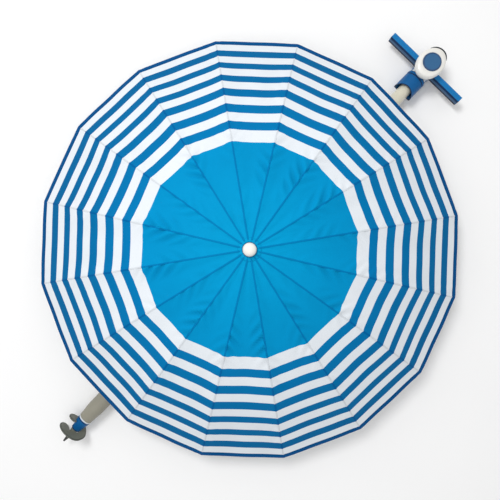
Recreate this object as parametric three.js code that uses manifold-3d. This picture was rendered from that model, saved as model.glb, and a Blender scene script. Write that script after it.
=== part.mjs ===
// A beach umbrella lying on its mast: a striped sixteen-rib canopy on a telescopic stem, carried by a
// sliding swivel head on a two-piece mast with a screw-in sand anchor at one end and a T handle at the
// other. Millimetres. The origin is on the ground below the canopy stem, +X runs along the mast to the
// handle and +Z is the canopy axis.
import * as THREE from "three";
import { mergeVertices } from "three/addons/utils/BufferGeometryUtils.js";
import Module from "manifold-3d";

// ---- Driving dimensions -------------------------------------------------------------------------
const GAP = 0.3; // clearance between pieces that are fastened to each other
const RUN = 0.5; // clearance between pieces that slide or turn on each other

// Canopy cloth: a dome of sixteen gores, whose seams follow an arc that ends in a straight skirt
const RIBS = 16;
const FIRST_RIB_ANGLE = 8.5; // degrees from the mast to the first seam
const RIM_RADIUS = 750; // to a corner of the rim
const RIM_ABOVE_MAST = 73; // of the rim above the mast's axis
const CROWN_SLOPE = 4; // degrees, at the middle of the dome
const SKIRT_SLOPE = 35.7; // degrees, at the rim
const DOME_ARC_RADIUS = 1174;
const CLOTH = 1.6; // thickness of the cloth with its seams
const CANOPY_HOLE_RADIUS = 8;
const DOME_RINGS = 9;

// Ribs and stretchers: flat strips on edge
const RIB_WIDTH = 4;
const RIB_DEPTH = 5;
const RIB_BELOW_CLOTH = 2;
const RIB_EYE_RADIUS = 4;
const RIB_PIVOT_RADIUS = 32; // from the canopy axis
const RIB_PIVOT_BELOW_CLOTH = 7; // from the middle of the cloth to the pivot
const RIB_TIP_OVERHANG = 5; // past the rim of the cloth
const RIB_STEPS = 10;
const LUG_ARC = 390; // along the rib, to the lug that the stretcher holds
const LUG_DROP = 6.5; // of the lug's pivot below the rib's middle
const LUG_RADIUS = 4;
const STRETCHER_WIDTH = 3;
const STRETCHER_DEPTH = 6.5;
const STRETCHER_OFFSET = 4.5; // sideways from the rib's plane
const STRETCHER_PIVOT_RADIUS = 28;
const STRETCHER_PIVOT_RISE = 20; // above the top of the stem's socket

// Crown, runner and the telescopic stem, about the canopy axis
const CROWN_RADIUS = 37;
const CROWN_BELOW_PIVOT = 7;
const CROWN_ABOVE_PIVOT = 3.6;
const CROWN_COLLAR_RADIUS = 18;
const CROWN_COLLAR_LENGTH = 12;
const RUNNER_RADIUS = 34;
const RUNNER_THICKNESS = 12;
const RUNNER_COLLAR_RADIUS = 21;
const STEM_RADIUS = 16; // of the outermost stem tube
const STEM_WALL = 1.5;
const STEM_TOP_STEP = 5; // each inner tube stands this far out of the one around it
const STEM_FOOT_STEP = 3; // and ends this far above its foot
const FINIAL_RADIUS = 20.5;
const FINIAL_HEIGHT = 22;
// The finial's outline, as shares of its radius and height
const FINIAL_OUTLINE = [
  [1, 0],
  [1, 0.35],
  [0.85, 0.7],
  [0.5, 0.94],
  [0, 1],
];
const FINIAL_SPIGOT_RADIUS = 5;

// Mast tubes, along X
const MAST_HEIGHT = 52; // of the mast's axis above the ground
const UPPER_TUBE_RADIUS = 24;
const UPPER_TUBE_WALL = 1.8;
const UPPER_TUBE_START = -450;
const LOWER_TUBE_WALL = 2.2;
const LOWER_TUBE_START = -871; // the anchor end
const LOWER_TUBE_END = -250;
const TAPER_LENGTH = 58;
const TAPER_RADIUS = 25.5; // at the anchor end
const BUSHING_LENGTH = 60;
const BUSHING_WALL = 3;
const COLLAR_WALL = 8;
const COLLAR_LENGTH = 44;
const COLLAR_LIP = 6; // of the collar past the lower tube's end
const LEVER_LENGTH = 74;
const LEVER_THICKNESS = 7;
const LEVER_WIDTH = 22;
const LEVER_EYE_RADIUS = 8;
const LEVER_PIVOT_IN = 12; // of the lever's pivot from the collar's end
const LEVER_PIVOT_OUT = 10; // and from its outside
const LEVER_EAR_THICKNESS = 6;

// Swivel head and the sleeve that it turns on
const SLEEVE_WALL = 4.4;
const HEAD_LENGTH = 90;
const HEAD_WALL = 8.6;
const PAD_WIDTH = 84;
const PAD_THICKNESS = 14;
const PAD_WEB_WIDTH = 52;
const SOCKET_WALL_THICKNESS = 8.7; // of the boss that holds the stem
const SOCKET_DEPTH = 22;
const SOCKET_FLOOR_THICKNESS = 2;
const FLANGE_HEIGHT = 8.1; // above the sleeve's barrel
const FLANGE_LENGTH = 7;
const CLAMP_LENGTH = 32;
const CLAMP_STEP = 4; // of the clamp's outside in from the flange's
const CLAMP_EAR_INSET = 3; // of the ears from the clamp's ends
const CLAMP_EAR_REACH = 25; // of the clamp ears past the sleeve's barrel
const CLAMP_EAR_HEIGHT = 20;
const KNOB_RADIUS = 17;
const KNOB_LENGTH = 18;
const KNOB_LOBES = 6;
const KNOB_DENT = 0.32; // radius of the dents between the lobes, as a share of the knob's
const KNOB_DENT_OUT = 1.12; // distance of their middles from the axis, as a share
const KNOB_SCREW_REACH = 6; // of the knob's screw from the sleeve's barrel
const SCREW_RADIUS = 3.5;
const STEM_SCREW_RISE = 12; // above the socket's floor
const STEM_SCREW_HEAD_RADIUS = 9;
const STEM_SCREW_HEAD_LENGTH = 11;

// T handle: socket, neck, bar and hub
const HANDLE_X = 934; // of the bar's middle
const SOCKET_LENGTH = 76;
const SOCKET_END = 887;
const HANDLE_SOCKET_REACH = 14; // of the socket's outside past the upper tube
const HANDLE_SOCKET_WALL = 3.5;
const SOCKET_SOLID_END = 16;
const MOUTH_DEPTH = 15; // of the arch cut in the socket's mouth
const SOCKET_GROOVE = 2; // depth of the groove round the socket's solid end
const SOCKET_GROOVE_FLOOR = 3; // its flat length
const SOCKET_CHAMFER = [4, 3]; // length and depth
const TUBE_INSET = 3; // of the upper tube's end from the socket's
const NECK_INSET = 6.5; // of the neck from the socket's outside
const BAR_LENGTH = 344;
const BAR_WIDTH = 26;
const BAR_HEIGHT = 32;
const BAR_GROOVE = 2.5;
const HUB_RADIUS = 46; // at the bar
const HUB_SHOULDER_RADIUS = 62;
const HUB_LIP_RADIUS = 44;
const HUB_CHAMFER = 4; // at the foot
const HUB_ASPECT = 0.79; // of the hub's width along the bar to its length along the mast
const POCKET_RISE = 7; // of the spring pocket's floor above the bar
// The hub's side, as steps out from its radius at the bar and down from its top
const HUB_SIDE = [
  [0, 59],
  [4, 45],
  [13, 27],
  [HUB_SHOULDER_RADIUS - HUB_RADIUS, 15],
  [11, 5],
];
const HUB_ABOVE_MAST = 69;
const BUTTON_RADIUS = 32.5;
const BUTTON_THICKNESS = 9;
const BUTTON_PROUD = 4;
const BUTTON_TRAVEL = 4;
const BUTTON_CHAMFER = 2;
const BUTTON_STEM_RADIUS = 6;
const SPRING_RADIUS = 11;
const SPRING_WIRE = 2;
const SPRING_TURNS = 4;
const BUMPER_THICKNESS = 3.5;
const BUMPER_HALF_ANGLE = 47; // degrees
const BUMPER_MIDDLE_ANGLE = 4.5;
const BUMPER_HEIGHT = 16;
const BUMPER_DROP = 9; // of the bumper's top below the hub's

// Sand anchor
const ANCHOR_RING_LENGTH = 5;
const ANCHOR_RING_RADIUS = 25.8;
const PLUG_LENGTH = 49;
const PLUG_END_RADIUS = 17;
const TENON_STEP = 8; // of the plug's tenon in from the tube's outside
const TENON_LENGTH = 30;
const SHANK_RADIUS = 9;
const SHANK_LENGTH = 40;
const AUGER_CORE_RADIUS = 14;
const AUGER_CORE_LENGTH = 42;
const TIP_LENGTH = 22;
const TIP_ROOT_RADIUS = 6.5;
const TIP_END_RADIUS = 3;
const FLIGHT_START = -903;
const FLIGHT_PITCH = 44;
const FLIGHT_THICKNESS = 5.5;
const FLIGHT_STEPS = 48;
// The flight's outer radius at each angle of its turn, in degrees from +Y down under the mast
const FLIGHT_OUTLINE = [
  [-48, 36],
  [-24, 47],
  [0, 51],
  [60, 51],
  [100, 51],
  [125, 46],
  [150, 44],
  [180, 46],
  [210, 49],
  [240, 57],
  [270, 59],
  [300, 58],
  [330, 56],
  [360, 53],
  [385, 48],
  [405, 36],
];

// ---- Sizes that follow from them ----------------------------------------------------------------
const sleeveInner = UPPER_TUBE_RADIUS + RUN;
const sleeveOuter = sleeveInner + SLEEVE_WALL;
const headRadius = sleeveOuter + RUN + HEAD_WALL;
const headHalf = HEAD_LENGTH / 2;
const flangeRadius = sleeveOuter + FLANGE_HEIGHT;
const socketFloor = MAST_HEIGHT + headRadius + SOCKET_FLOOR_THICKNESS;
const socketTop = socketFloor + SOCKET_DEPTH;
const socketRadius = STEM_RADIUS + GAP + SOCKET_WALL_THICKNESS;
const lowerTubeInner = UPPER_TUBE_RADIUS + RUN + BUSHING_WALL + GAP;
const lowerTubeRadius = lowerTubeInner + LOWER_TUBE_WALL;
const collarRadius = lowerTubeRadius + COLLAR_WALL;
const handleSocketRadius = UPPER_TUBE_RADIUS + HANDLE_SOCKET_REACH;
const hubTop = MAST_HEIGHT + HUB_ABOVE_MAST;
const rimHeight = MAST_HEIGHT + RIM_ABOVE_MAST;

// ---- Solids -------------------------------------------------------------------------------------
const wasm = await Module();
wasm.setup();
const degrees = Math.PI / 180;

// Makes a closed geometry a solid that can be cut and joined, whichever way round it was drawn.
function solid(geometry) {
  const bare = geometry.clone();
  bare.deleteAttribute("normal");
  bare.deleteAttribute("uv");
  const merged = mergeVertices(bare, 1e-3);
  const triangles = [];
  for (let i = 0; i < merged.index.count; i += 3) {
    const [a, b, c] = merged.index.array.slice(i, i + 3);
    if (a !== b && b !== c && c !== a) triangles.push([a, b, c]);
  }
  const build = (faces) =>
    new wasm.Manifold(
      new wasm.Mesh({
        numProp: 3,
        vertProperties: new Float32Array(merged.getAttribute("position").array),
        triVerts: new Uint32Array(faces.flat()),
      }),
    );
  const made = build(triangles);
  return made.volume() > 0 ? made : build(triangles.map((t) => t.reverse()));
}

const join = (...solids) => solids.reduce((whole, s) => whole.add(s));
const cut = (whole, ...tools) => tools.reduce((left, t) => left.subtract(t), whole);

// A body turned about X, from [x, radius] points; a closed profile makes a ring.
function turnedX(points, sides = 32) {
  const profile = points.map(([x, r]) => new THREE.Vector2(r, x));
  return solid(new THREE.LatheGeometry(profile, sides).rotateZ(-Math.PI / 2));
}

// A body turned about Z, from [radius, z] points.
function turnedZ(points, sides = 32) {
  const profile = points.map(([r, z]) => new THREE.Vector2(r, z));
  return solid(new THREE.LatheGeometry(profile, sides).rotateX(Math.PI / 2));
}

function rodX(radius, from, to, sides = 32) {
  return turnedX([[from, 0], [from, radius], [to, radius], [to, 0]], sides);
}

function tubeX(outer, inner, from, to, sides = 32) {
  return turnedX([[from, inner], [from, outer], [to, outer], [to, inner], [from, inner]], sides);
}

function rodZ(radius, from, to, sides = 24) {
  return turnedZ([[0, from], [radius, from], [radius, to], [0, to]], sides);
}

function tubeZ(outer, inner, from, to, sides = 24) {
  return turnedZ([[inner, from], [outer, from], [outer, to], [inner, to], [inner, from]], sides);
}

function rodY(radius, from, to, sides = 24) {
  return rodX(radius, from, to, sides).rotate([0, 0, 90]);
}

// A box between two opposite corners.
function box(low, high) {
  const size = high.map((v, i) => v - low[i]);
  const middle = high.map((v, i) => (v + low[i]) / 2);
  return solid(new THREE.BoxGeometry(...size).translate(...middle));
}

// An outline in the XZ plane, given thickness along Y and centred on y.
function plate(shape, thickness, y = 0) {
  const drawn = new THREE.ExtrudeGeometry(shape, { depth: thickness, bevelEnabled: false });
  return solid(drawn.rotateX(Math.PI / 2).translate(0, y + thickness / 2, 0));
}

// ---- Colours ------------------------------------------------------------------------------------
function finish(colour, roughness, metalness = 0) {
  return new THREE.MeshStandardMaterial({ color: colour, roughness, metalness });
}
const material = {
  cloth: finish(0x1b8fd0, 0.85),
  ivory: finish(0xf4f1e6, 0.35),
  white: finish(0xf2f1ec, 0.4),
  blue: finish(0x1d66ad, 0.4),
  barBlue: finish(0x2f86cf, 0.45),
  discBlue: finish(0x3f6fa6, 0.55),
  putty: finish(0x88857a, 0.6),
  steel: finish(0x9aa0a4, 0.35, 0.9),
  glassFibre: finish(0x2b2d30, 0.5),
  nylon: finish(0xe6e6e2, 0.5),
  rubber: finish(0x2c3a40, 0.8),
  auger: finish(0x696c62, 0.6),
};

function piece(parent, name, made, look) {
  const mesh = made.getMesh();
  const geometry = new THREE.BufferGeometry()
    .setAttribute("position", new THREE.BufferAttribute(mesh.vertProperties, 3))
    .setIndex(new THREE.BufferAttribute(mesh.triVerts, 1));
  geometry.computeVertexNormals();
  const node = new THREE.Mesh(geometry, look);
  node.name = name;
  parent.add(node);
  return node;
}

const umbrella = new THREE.Group();
const mast = new THREE.Group();
mast.position.z = MAST_HEIGHT;
const handle = new THREE.Group();
handle.position.x = HANDLE_X;
const canopyFrame = new THREE.Group();
umbrella.add(mast, handle, canopyFrame);

// ---- The dome's seam line -----------------------------------------------------------------------
const arcEnd = DOME_ARC_RADIUS * (SKIRT_SLOPE - CROWN_SLOPE) * degrees;

// Slope, radius and drop of the middle of the cloth, at a distance along a seam from the axis.
function seam(s) {
  const slope = CROWN_SLOPE * degrees + Math.min(s, arcEnd) / DOME_ARC_RADIUS;
  const skirt = Math.max(s - arcEnd, 0);
  const start = CROWN_SLOPE * degrees;
  return {
    slope,
    radius: DOME_ARC_RADIUS * (Math.sin(slope) - Math.sin(start)) + skirt * Math.cos(slope),
    drop: DOME_ARC_RADIUS * (Math.cos(start) - Math.cos(slope)) + skirt * Math.sin(slope),
  };
}

const seamLength = arcEnd + (RIM_RADIUS - seam(arcEnd).radius) / Math.cos(SKIRT_SLOPE * degrees);
const domeHeight = rimHeight + seam(seamLength).drop; // of the middle of the cloth at the axis

// A point of the seam line moved square to the cloth, down when the distance is positive.
function underSeam(s, distance) {
  const at = seam(s);
  return new THREE.Vector2(
    at.radius - distance * Math.sin(at.slope),
    domeHeight - at.drop - distance * Math.cos(at.slope),
  );
}

// ---- Canopy -------------------------------------------------------------------------------------
// One closed skin: an outer and an inner sheet of flat gores, joined at the rim and the middle hole.
function canopySolid() {
  const holeArc = CANOPY_HOLE_RADIUS / Math.cos(CROWN_SLOPE * degrees);
  const arcs = Array.from(
    { length: DOME_RINGS + 1 },
    (_, i) => holeArc + ((seamLength - holeArc) * i) / DOME_RINGS,
  );
  const outer = arcs.map((s) => underSeam(s, -CLOTH / 2));
  const inner = arcs.map((s) => underSeam(s, CLOTH / 2)).reverse();
  const section = [...outer, ...inner, outer[0].clone()];
  const skin = new THREE.LatheGeometry(section, RIBS).rotateX(Math.PI / 2);
  // A lathe starts its first meridian on its own Z axis, which this turn lays on +X.
  return solid(skin.rotateZ(Math.PI / 2 + FIRST_RIB_ANGLE * degrees));
}

// ---- Ribs and stretchers ------------------------------------------------------------------------
const ribMiddle = CLOTH / 2 + RIB_BELOW_CLOTH + RIB_DEPTH / 2;
const pivotArc = RIB_PIVOT_RADIUS / Math.cos(CROWN_SLOPE * degrees);
const ribPivot = underSeam(pivotArc, RIB_PIVOT_BELOW_CLOTH);
const lugPivot = underSeam(pivotArc + LUG_ARC, ribMiddle + LUG_DROP);
const stretcherPivot = new THREE.Vector2(STRETCHER_PIVOT_RADIUS, socketTop + STRETCHER_PIVOT_RISE);

function discPlate(centre, radius, thickness, y = 0, sides = 12) {
  return rodY(radius, y - thickness / 2, y + thickness / 2, sides).translate([centre.x, 0, centre.y]);
}

function ribSolid() {
  const from = pivotArc;
  const to = seamLength + RIB_TIP_OVERHANG;
  const arcs = Array.from({ length: RIB_STEPS + 1 }, (_, i) => from + ((to - from) * i) / RIB_STEPS);
  const top = arcs.map((s) => underSeam(s, ribMiddle - RIB_DEPTH / 2));
  const bottom = arcs.map((s) => underSeam(s, ribMiddle + RIB_DEPTH / 2)).reverse();
  const strip = plate(new THREE.Shape([...top, ...bottom]), RIB_WIDTH);
  const eye = discPlate(ribPivot, RIB_EYE_RADIUS, RIB_WIDTH);
  const lug = discPlate(lugPivot, LUG_RADIUS, RIB_WIDTH);
  return join(strip, eye, lug);
}

function stretcherSolid() {
  const along = lugPivot.clone().sub(stretcherPivot);
  const length = along.length();
  const half = STRETCHER_DEPTH / 2;
  const bar = new THREE.Shape();
  bar.moveTo(0, -half);
  bar.lineTo(length, -half);
  bar.absarc(length, 0, half, -Math.PI / 2, Math.PI / 2, false);
  bar.lineTo(0, half);
  bar.absarc(0, 0, half, Math.PI / 2, (3 * Math.PI) / 2, false);
  const drawn = new THREE.ExtrudeGeometry(bar, {
    depth: STRETCHER_WIDTH,
    bevelEnabled: false,
    curveSegments: 5,
  });
  drawn.rotateX(Math.PI / 2).translate(0, STRETCHER_OFFSET + STRETCHER_WIDTH / 2, 0);
  drawn.rotateY(-along.angle()).translate(stretcherPivot.x, 0, stretcherPivot.y);
  return solid(drawn);
}

// Slots cut from the outside of a disc, one for each rib, `side` off the radial line.
function radialSlots(inner, width, side, low, high, reach) {
  const slot = box([inner, side - width / 2, low], [reach, side + width / 2, high]);
  return Array.from({ length: RIBS }, (_, k) =>
    slot.rotate([0, 0, FIRST_RIB_ANGLE + (k * 360) / RIBS]),
  );
}

for (let k = 0; k < RIBS; k += 1) {
  const spoke = new THREE.Group();
  spoke.rotation.z = (FIRST_RIB_ANGLE + (k * 360) / RIBS) * degrees;
  canopyFrame.add(spoke);
  const number = String(k + 1).padStart(2, "0");
  piece(spoke, "rib_" + number, ribSolid(), material.glassFibre);
  piece(spoke, "stretcher_" + number, stretcherSolid(), material.steel);
}
piece(canopyFrame, "canopy", canopySolid(), material.cloth);

// ---- Stem, crown, runner and finial ---------------------------------------------------------------
const crownFloor = ribPivot.y - CROWN_BELOW_PIVOT;
const crownTop = ribPivot.y + CROWN_ABOVE_PIVOT;
const collarFoot = crownFloor - CROWN_COLLAR_LENGTH;
const innerRadius = STEM_RADIUS - 2 * (STEM_WALL + RUN);
const stemFoot = socketFloor + GAP;
const stemTop = collarFoot - 2 * STEM_TOP_STEP;

function crownSolid() {
  const disc = rodZ(CROWN_RADIUS, crownFloor, crownTop, 32);
  const collar = rodZ(CROWN_COLLAR_RADIUS, collarFoot, crownFloor + 1);
  const bore = rodZ(innerRadius + GAP, collarFoot - 1, crownTop - CROWN_ABOVE_PIVOT);
  const tap = rodZ(FINIAL_SPIGOT_RADIUS + GAP, crownFloor, crownTop + 1, 16);
  const inner = RIB_PIVOT_RADIUS - RIB_EYE_RADIUS - 3 * RUN;
  const slots = radialSlots(inner, RIB_WIDTH + 2 * RUN, 0, crownFloor - 1, crownTop + 1, CROWN_RADIUS + 5);
  return cut(join(disc, collar), bore, tap, ...slots);
}

function runnerSolid() {
  const low = stretcherPivot.y - RUNNER_THICKNESS / 2;
  const high = stretcherPivot.y + RUNNER_THICKNESS / 2;
  const disc = rodZ(RUNNER_RADIUS, low, high, 32);
  const collar = rodZ(RUNNER_COLLAR_RADIUS, socketTop + GAP, low + 1);
  const bore = rodZ(STEM_RADIUS + GAP, socketTop, high + 1);
  const inner = STRETCHER_PIVOT_RADIUS - STRETCHER_DEPTH / 2 - 3 * RUN;
  const slots = radialSlots(
    inner,
    STRETCHER_WIDTH + 2 * RUN,
    STRETCHER_OFFSET,
    low - 1,
    high + 1,
    RUNNER_RADIUS + 5,
  );
  return cut(join(disc, collar), bore, ...slots);
}

function stemTube(name, stage, top) {
  const outer = STEM_RADIUS - stage * (STEM_WALL + RUN);
  const foot = stemFoot + stage * STEM_FOOT_STEP;
  piece(canopyFrame, name, tubeZ(outer, outer - STEM_WALL, foot, top), material.steel);
}
stemTube("stem_outer", 0, stemTop);
stemTube("stem_middle", 1, stemTop + STEM_TOP_STEP);
stemTube("stem_inner", 2, crownTop - CROWN_ABOVE_PIVOT - GAP);
piece(canopyFrame, "crown", crownSolid(), material.nylon);
piece(canopyFrame, "runner", runnerSolid(), material.nylon);

function finialSolid() {
  const foot = domeHeight + CLOTH / 2 + GAP;
  const spigotFoot = crownTop - CROWN_ABOVE_PIVOT + GAP;
  return turnedZ([
    [0, spigotFoot],
    [FINIAL_SPIGOT_RADIUS, spigotFoot],
    [FINIAL_SPIGOT_RADIUS, foot],
    ...FINIAL_OUTLINE.map(([r, z]) => [FINIAL_RADIUS * r, foot + FINIAL_HEIGHT * z]),
  ]);
}
piece(canopyFrame, "finial", finialSolid(), material.white);

// ---- Swivel head and its sleeve -------------------------------------------------------------------
const stemScrewZ = socketFloor + STEM_SCREW_RISE - MAST_HEIGHT;

function headSolid() {
  const ring = rodX(headRadius, -headHalf, headHalf);
  const pad = box(
    [-headHalf, -PAD_WIDTH / 2, -MAST_HEIGHT],
    [headHalf, PAD_WIDTH / 2, PAD_THICKNESS - MAST_HEIGHT],
  );
  const web = box([-headHalf, -PAD_WEB_WIDTH / 2, -MAST_HEIGHT], [headHalf, PAD_WEB_WIDTH / 2, 0]);
  const boss = rodZ(socketRadius, headRadius / 2, socketTop - MAST_HEIGHT, 32);
  const bore = rodX(sleeveOuter + RUN, -headHalf - 1, headHalf + 1);
  const socket = rodZ(STEM_RADIUS + GAP, socketFloor - MAST_HEIGHT, socketTop);
  const screwWay = rodY(SCREW_RADIUS + GAP, -socketRadius - 1, -STEM_RADIUS + 2, 16);
  return cut(join(ring, pad, web, boss), bore, socket, screwWay.translate([0, 0, stemScrewZ]));
}
piece(mast, "swivel_head", headSolid(), material.blue);

function stemScrewSolid() {
  const face = -socketRadius - 1;
  const shank = rodY(SCREW_RADIUS, face - 2, -STEM_RADIUS - GAP, 16);
  const head = rodY(STEM_SCREW_HEAD_RADIUS, face - STEM_SCREW_HEAD_LENGTH, face, 12);
  return join(shank, head);
}
piece(mast, "stem_screw", stemScrewSolid(), material.rubber).position.z = stemScrewZ;

const clampStart = -headHalf - RUN - FLANGE_LENGTH - CLAMP_LENGTH;
const clampMiddle = clampStart + CLAMP_LENGTH / 2;
const earEnd = sleeveOuter + CLAMP_EAR_REACH;
const retainerStart = headHalf + RUN;

function sleeveSolid() {
  const barrel = rodX(sleeveOuter, clampStart, retainerStart + FLANGE_LENGTH);
  const flange = rodX(flangeRadius, clampStart + CLAMP_LENGTH, -headHalf - RUN);
  const clamp = rodX(flangeRadius - CLAMP_STEP, clampStart, clampStart + CLAMP_LENGTH + 1);
  const ears = box(
    [clampStart + CLAMP_EAR_INSET, -earEnd, -CLAMP_EAR_HEIGHT / 2],
    [clampStart + CLAMP_LENGTH - CLAMP_EAR_INSET, 0, CLAMP_EAR_HEIGHT / 2],
  );
  const bore = rodX(sleeveInner, clampStart - 1, retainerStart + FLANGE_LENGTH + 1);
  const screwWay = rodY(SCREW_RADIUS + RUN, -earEnd - 1, -sleeveOuter - 4, 16);
  return cut(join(barrel, flange, clamp, ears), bore, screwWay.translate([clampMiddle, 0, 0]));
}
piece(mast, "clamp_sleeve", sleeveSolid(), material.rubber);
piece(
  mast,
  "retainer_ring",
  tubeX(flangeRadius, sleeveOuter + GAP, retainerStart, retainerStart + FLANGE_LENGTH),
  material.steel,
);

function knobSolid() {
  const face = -earEnd - RUN;
  const shank = rodY(SCREW_RADIUS, face - 2, -sleeveOuter - KNOB_SCREW_REACH, 16);
  const body = rodY(KNOB_RADIUS, face - KNOB_LENGTH, face, 24);
  const dents = Array.from({ length: KNOB_LOBES }, (_, i) =>
    rodY(KNOB_RADIUS * KNOB_DENT, face - KNOB_LENGTH - 1, face + 1, 12)
      .translate([KNOB_RADIUS * KNOB_DENT_OUT, 0, 0])
      .rotate([0, (i * 360) / KNOB_LOBES, 0]),
  );
  return join(cut(body, ...dents), shank);
}
piece(mast, "clamp_knob", knobSolid(), material.blue).position.x = clampMiddle;

// ---- Mast tubes, bushing and locking collar -----------------------------------------------------
const socketSolidStart = SOCKET_END - SOCKET_SOLID_END;
const upperTubeEnd = SOCKET_END - TUBE_INSET;

function lowerTubeSolid() {
  const taperEnd = LOWER_TUBE_START + TAPER_LENGTH;
  return turnedX([
    [LOWER_TUBE_START, TAPER_RADIUS - LOWER_TUBE_WALL],
    [LOWER_TUBE_START, TAPER_RADIUS],
    [taperEnd, lowerTubeRadius],
    [LOWER_TUBE_END, lowerTubeRadius],
    [LOWER_TUBE_END, lowerTubeInner],
    [taperEnd, lowerTubeInner],
    [LOWER_TUBE_START, TAPER_RADIUS - LOWER_TUBE_WALL],
  ]);
}
piece(mast, "lower_tube", lowerTubeSolid(), material.putty);
piece(
  mast,
  "tube_bushing",
  tubeX(
    lowerTubeInner - GAP,
    UPPER_TUBE_RADIUS + RUN,
    LOWER_TUBE_END - BUSHING_LENGTH,
    LOWER_TUBE_END - 1,
  ),
  material.nylon,
);

const collarEnd = LOWER_TUBE_END + COLLAR_LIP;
const collarStart = collarEnd - COLLAR_LENGTH;
const leverPivotX = collarStart + LEVER_PIVOT_IN;
const leverPivotY = -(collarRadius + LEVER_PIVOT_OUT);

function collarSolid() {
  const body = rodX(collarRadius, collarStart, collarEnd);
  const bore = rodX(lowerTubeRadius + GAP, collarStart - 1, LOWER_TUBE_END + GAP);
  const mouth = rodX(UPPER_TUBE_RADIUS + RUN, LOWER_TUBE_END, collarEnd + 1);
  const earHalf = LEVER_WIDTH / 2 + LEVER_EAR_THICKNESS;
  const ears = box(
    [leverPivotX - LEVER_EYE_RADIUS, leverPivotY - LEVER_EYE_RADIUS, -earHalf],
    [leverPivotX + LEVER_EYE_RADIUS, -lowerTubeRadius, earHalf],
  );
  const way = box(
    [leverPivotX - 3 * LEVER_EYE_RADIUS, leverPivotY - 2 * LEVER_EYE_RADIUS, -LEVER_WIDTH / 2 - RUN],
    [leverPivotX + 3 * LEVER_EYE_RADIUS, leverPivotY + LEVER_EYE_RADIUS + RUN, LEVER_WIDTH / 2 + RUN],
  );
  return cut(join(body, cut(ears, way)), bore, mouth);
}
piece(mast, "lock_collar", collarSolid(), material.blue);

// A flat cam lever, drawn with its pivot at the local origin and its handle lying towards the anchor.
function leverSolid() {
  const cam = rodZ(LEVER_EYE_RADIUS, -LEVER_WIDTH / 2, LEVER_WIDTH / 2, 20);
  const grip = box(
    [-LEVER_LENGTH, -LEVER_EYE_RADIUS, -LEVER_WIDTH / 2],
    [0, LEVER_THICKNESS - LEVER_EYE_RADIUS, LEVER_WIDTH / 2],
  );
  return join(cam, grip);
}
piece(mast, "lock_lever", leverSolid(), material.putty).position.set(leverPivotX, leverPivotY, 0);

// ---- T handle -----------------------------------------------------------------------------------
function hubOutline(grow) {
  const side = HUB_SIDE.map(([out, down]) => [HUB_RADIUS + out + grow, hubTop - down]);
  return [...side, [HUB_LIP_RADIUS + grow, hubTop + grow]];
}

const barFoot = MAST_HEIGHT - BAR_HEIGHT / 2;
const barTop = MAST_HEIGHT + BAR_HEIGHT / 2;
const baseTop = barFoot - GAP;
const pocketFloor = barTop + POCKET_RISE;
const buttonTop = hubTop + BUTTON_PROUD;
const buttonFoot = buttonTop - BUTTON_THICKNESS;
const recessFloor = buttonFoot - BUTTON_TRAVEL - 1;

function hubSpace(grow) {
  const outline = [[0, -grow], [HUB_RADIUS + grow, -grow], ...hubOutline(grow), [0, hubTop + grow]];
  return turnedZ(outline, 40).scale([1, HUB_ASPECT, 1]);
}

// The hub's own space with its clearance, in the mast's frame.
function hubClearance() {
  return hubSpace(GAP).translate([HANDLE_X, 0, -MAST_HEIGHT]);
}

function upperTubeSolid() {
  const inner = UPPER_TUBE_RADIUS - UPPER_TUBE_WALL;
  return cut(tubeX(UPPER_TUBE_RADIUS, inner, UPPER_TUBE_START, upperTubeEnd), hubClearance());
}
piece(mast, "upper_tube", upperTubeSolid(), material.ivory);

function socketSolid() {
  const start = SOCKET_END - SOCKET_LENGTH;
  const grooveEnd = socketSolidStart + 2 * SOCKET_GROOVE + SOCKET_GROOVE_FLOOR;
  const body = turnedX([
    [start, 0],
    [start, handleSocketRadius],
    [socketSolidStart, handleSocketRadius],
    [socketSolidStart + SOCKET_GROOVE, handleSocketRadius - SOCKET_GROOVE],
    [grooveEnd - SOCKET_GROOVE, handleSocketRadius - SOCKET_GROOVE],
    [grooveEnd, handleSocketRadius],
    [SOCKET_END - SOCKET_CHAMFER[0], handleSocketRadius],
    [SOCKET_END, handleSocketRadius - SOCKET_CHAMFER[1]],
    [SOCKET_END, 0],
  ]);
  const hollowEnd = socketSolidStart - SOCKET_GROOVE;
  const hollow = rodX(handleSocketRadius - HANDLE_SOCKET_WALL, start - 1, hollowEnd);
  const bore = rodX(UPPER_TUBE_RADIUS + GAP, start, upperTubeEnd + GAP);
  const archRadius = (handleSocketRadius ** 2 + MOUTH_DEPTH ** 2) / (2 * MOUTH_DEPTH);
  const arch = rodZ(archRadius, -SOCKET_LENGTH, SOCKET_LENGTH, 64);
  const mouth = arch.translate([start + MOUTH_DEPTH - archRadius, 0, 0]);
  return cut(body, hollow, bore, mouth, hubClearance());
}
piece(mast, "handle_socket", socketSolid(), material.blue);

function neckSolid() {
  const neck = rodX(handleSocketRadius - NECK_INSET, SOCKET_END + GAP, HANDLE_X - HUB_RADIUS / 2);
  return cut(neck, hubClearance());
}
piece(mast, "handle_neck", neckSolid(), material.white);

function barSolid() {
  const half = BAR_LENGTH / 2;
  const low = -BAR_HEIGHT / 2;
  const high = BAR_HEIGHT / 2;
  const side = BAR_WIDTH / 2;
  const body = box([-side, -half, low], [side, half, high]);
  const groove = box(
    [-side - 1, -half - 1, high - 2.4 * BAR_GROOVE],
    [-side + BAR_GROOVE, half + 1, high - 1.2 * BAR_GROOVE],
  );
  return cut(body, groove, groove.translate([BAR_WIDTH + 2 - BAR_GROOVE, 0, 0]));
}
piece(handle, "handle_bar", barSolid(), material.barBlue).position.z = MAST_HEIGHT;

piece(
  handle,
  "hub_base",
  turnedZ(
    [[0, 0], [HUB_RADIUS - HUB_CHAMFER, 0], [HUB_RADIUS, HUB_CHAMFER], [HUB_RADIUS, baseTop], [0, baseTop]],
    40,
  ).scale([1, HUB_ASPECT, 1]),
  material.blue,
);

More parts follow.
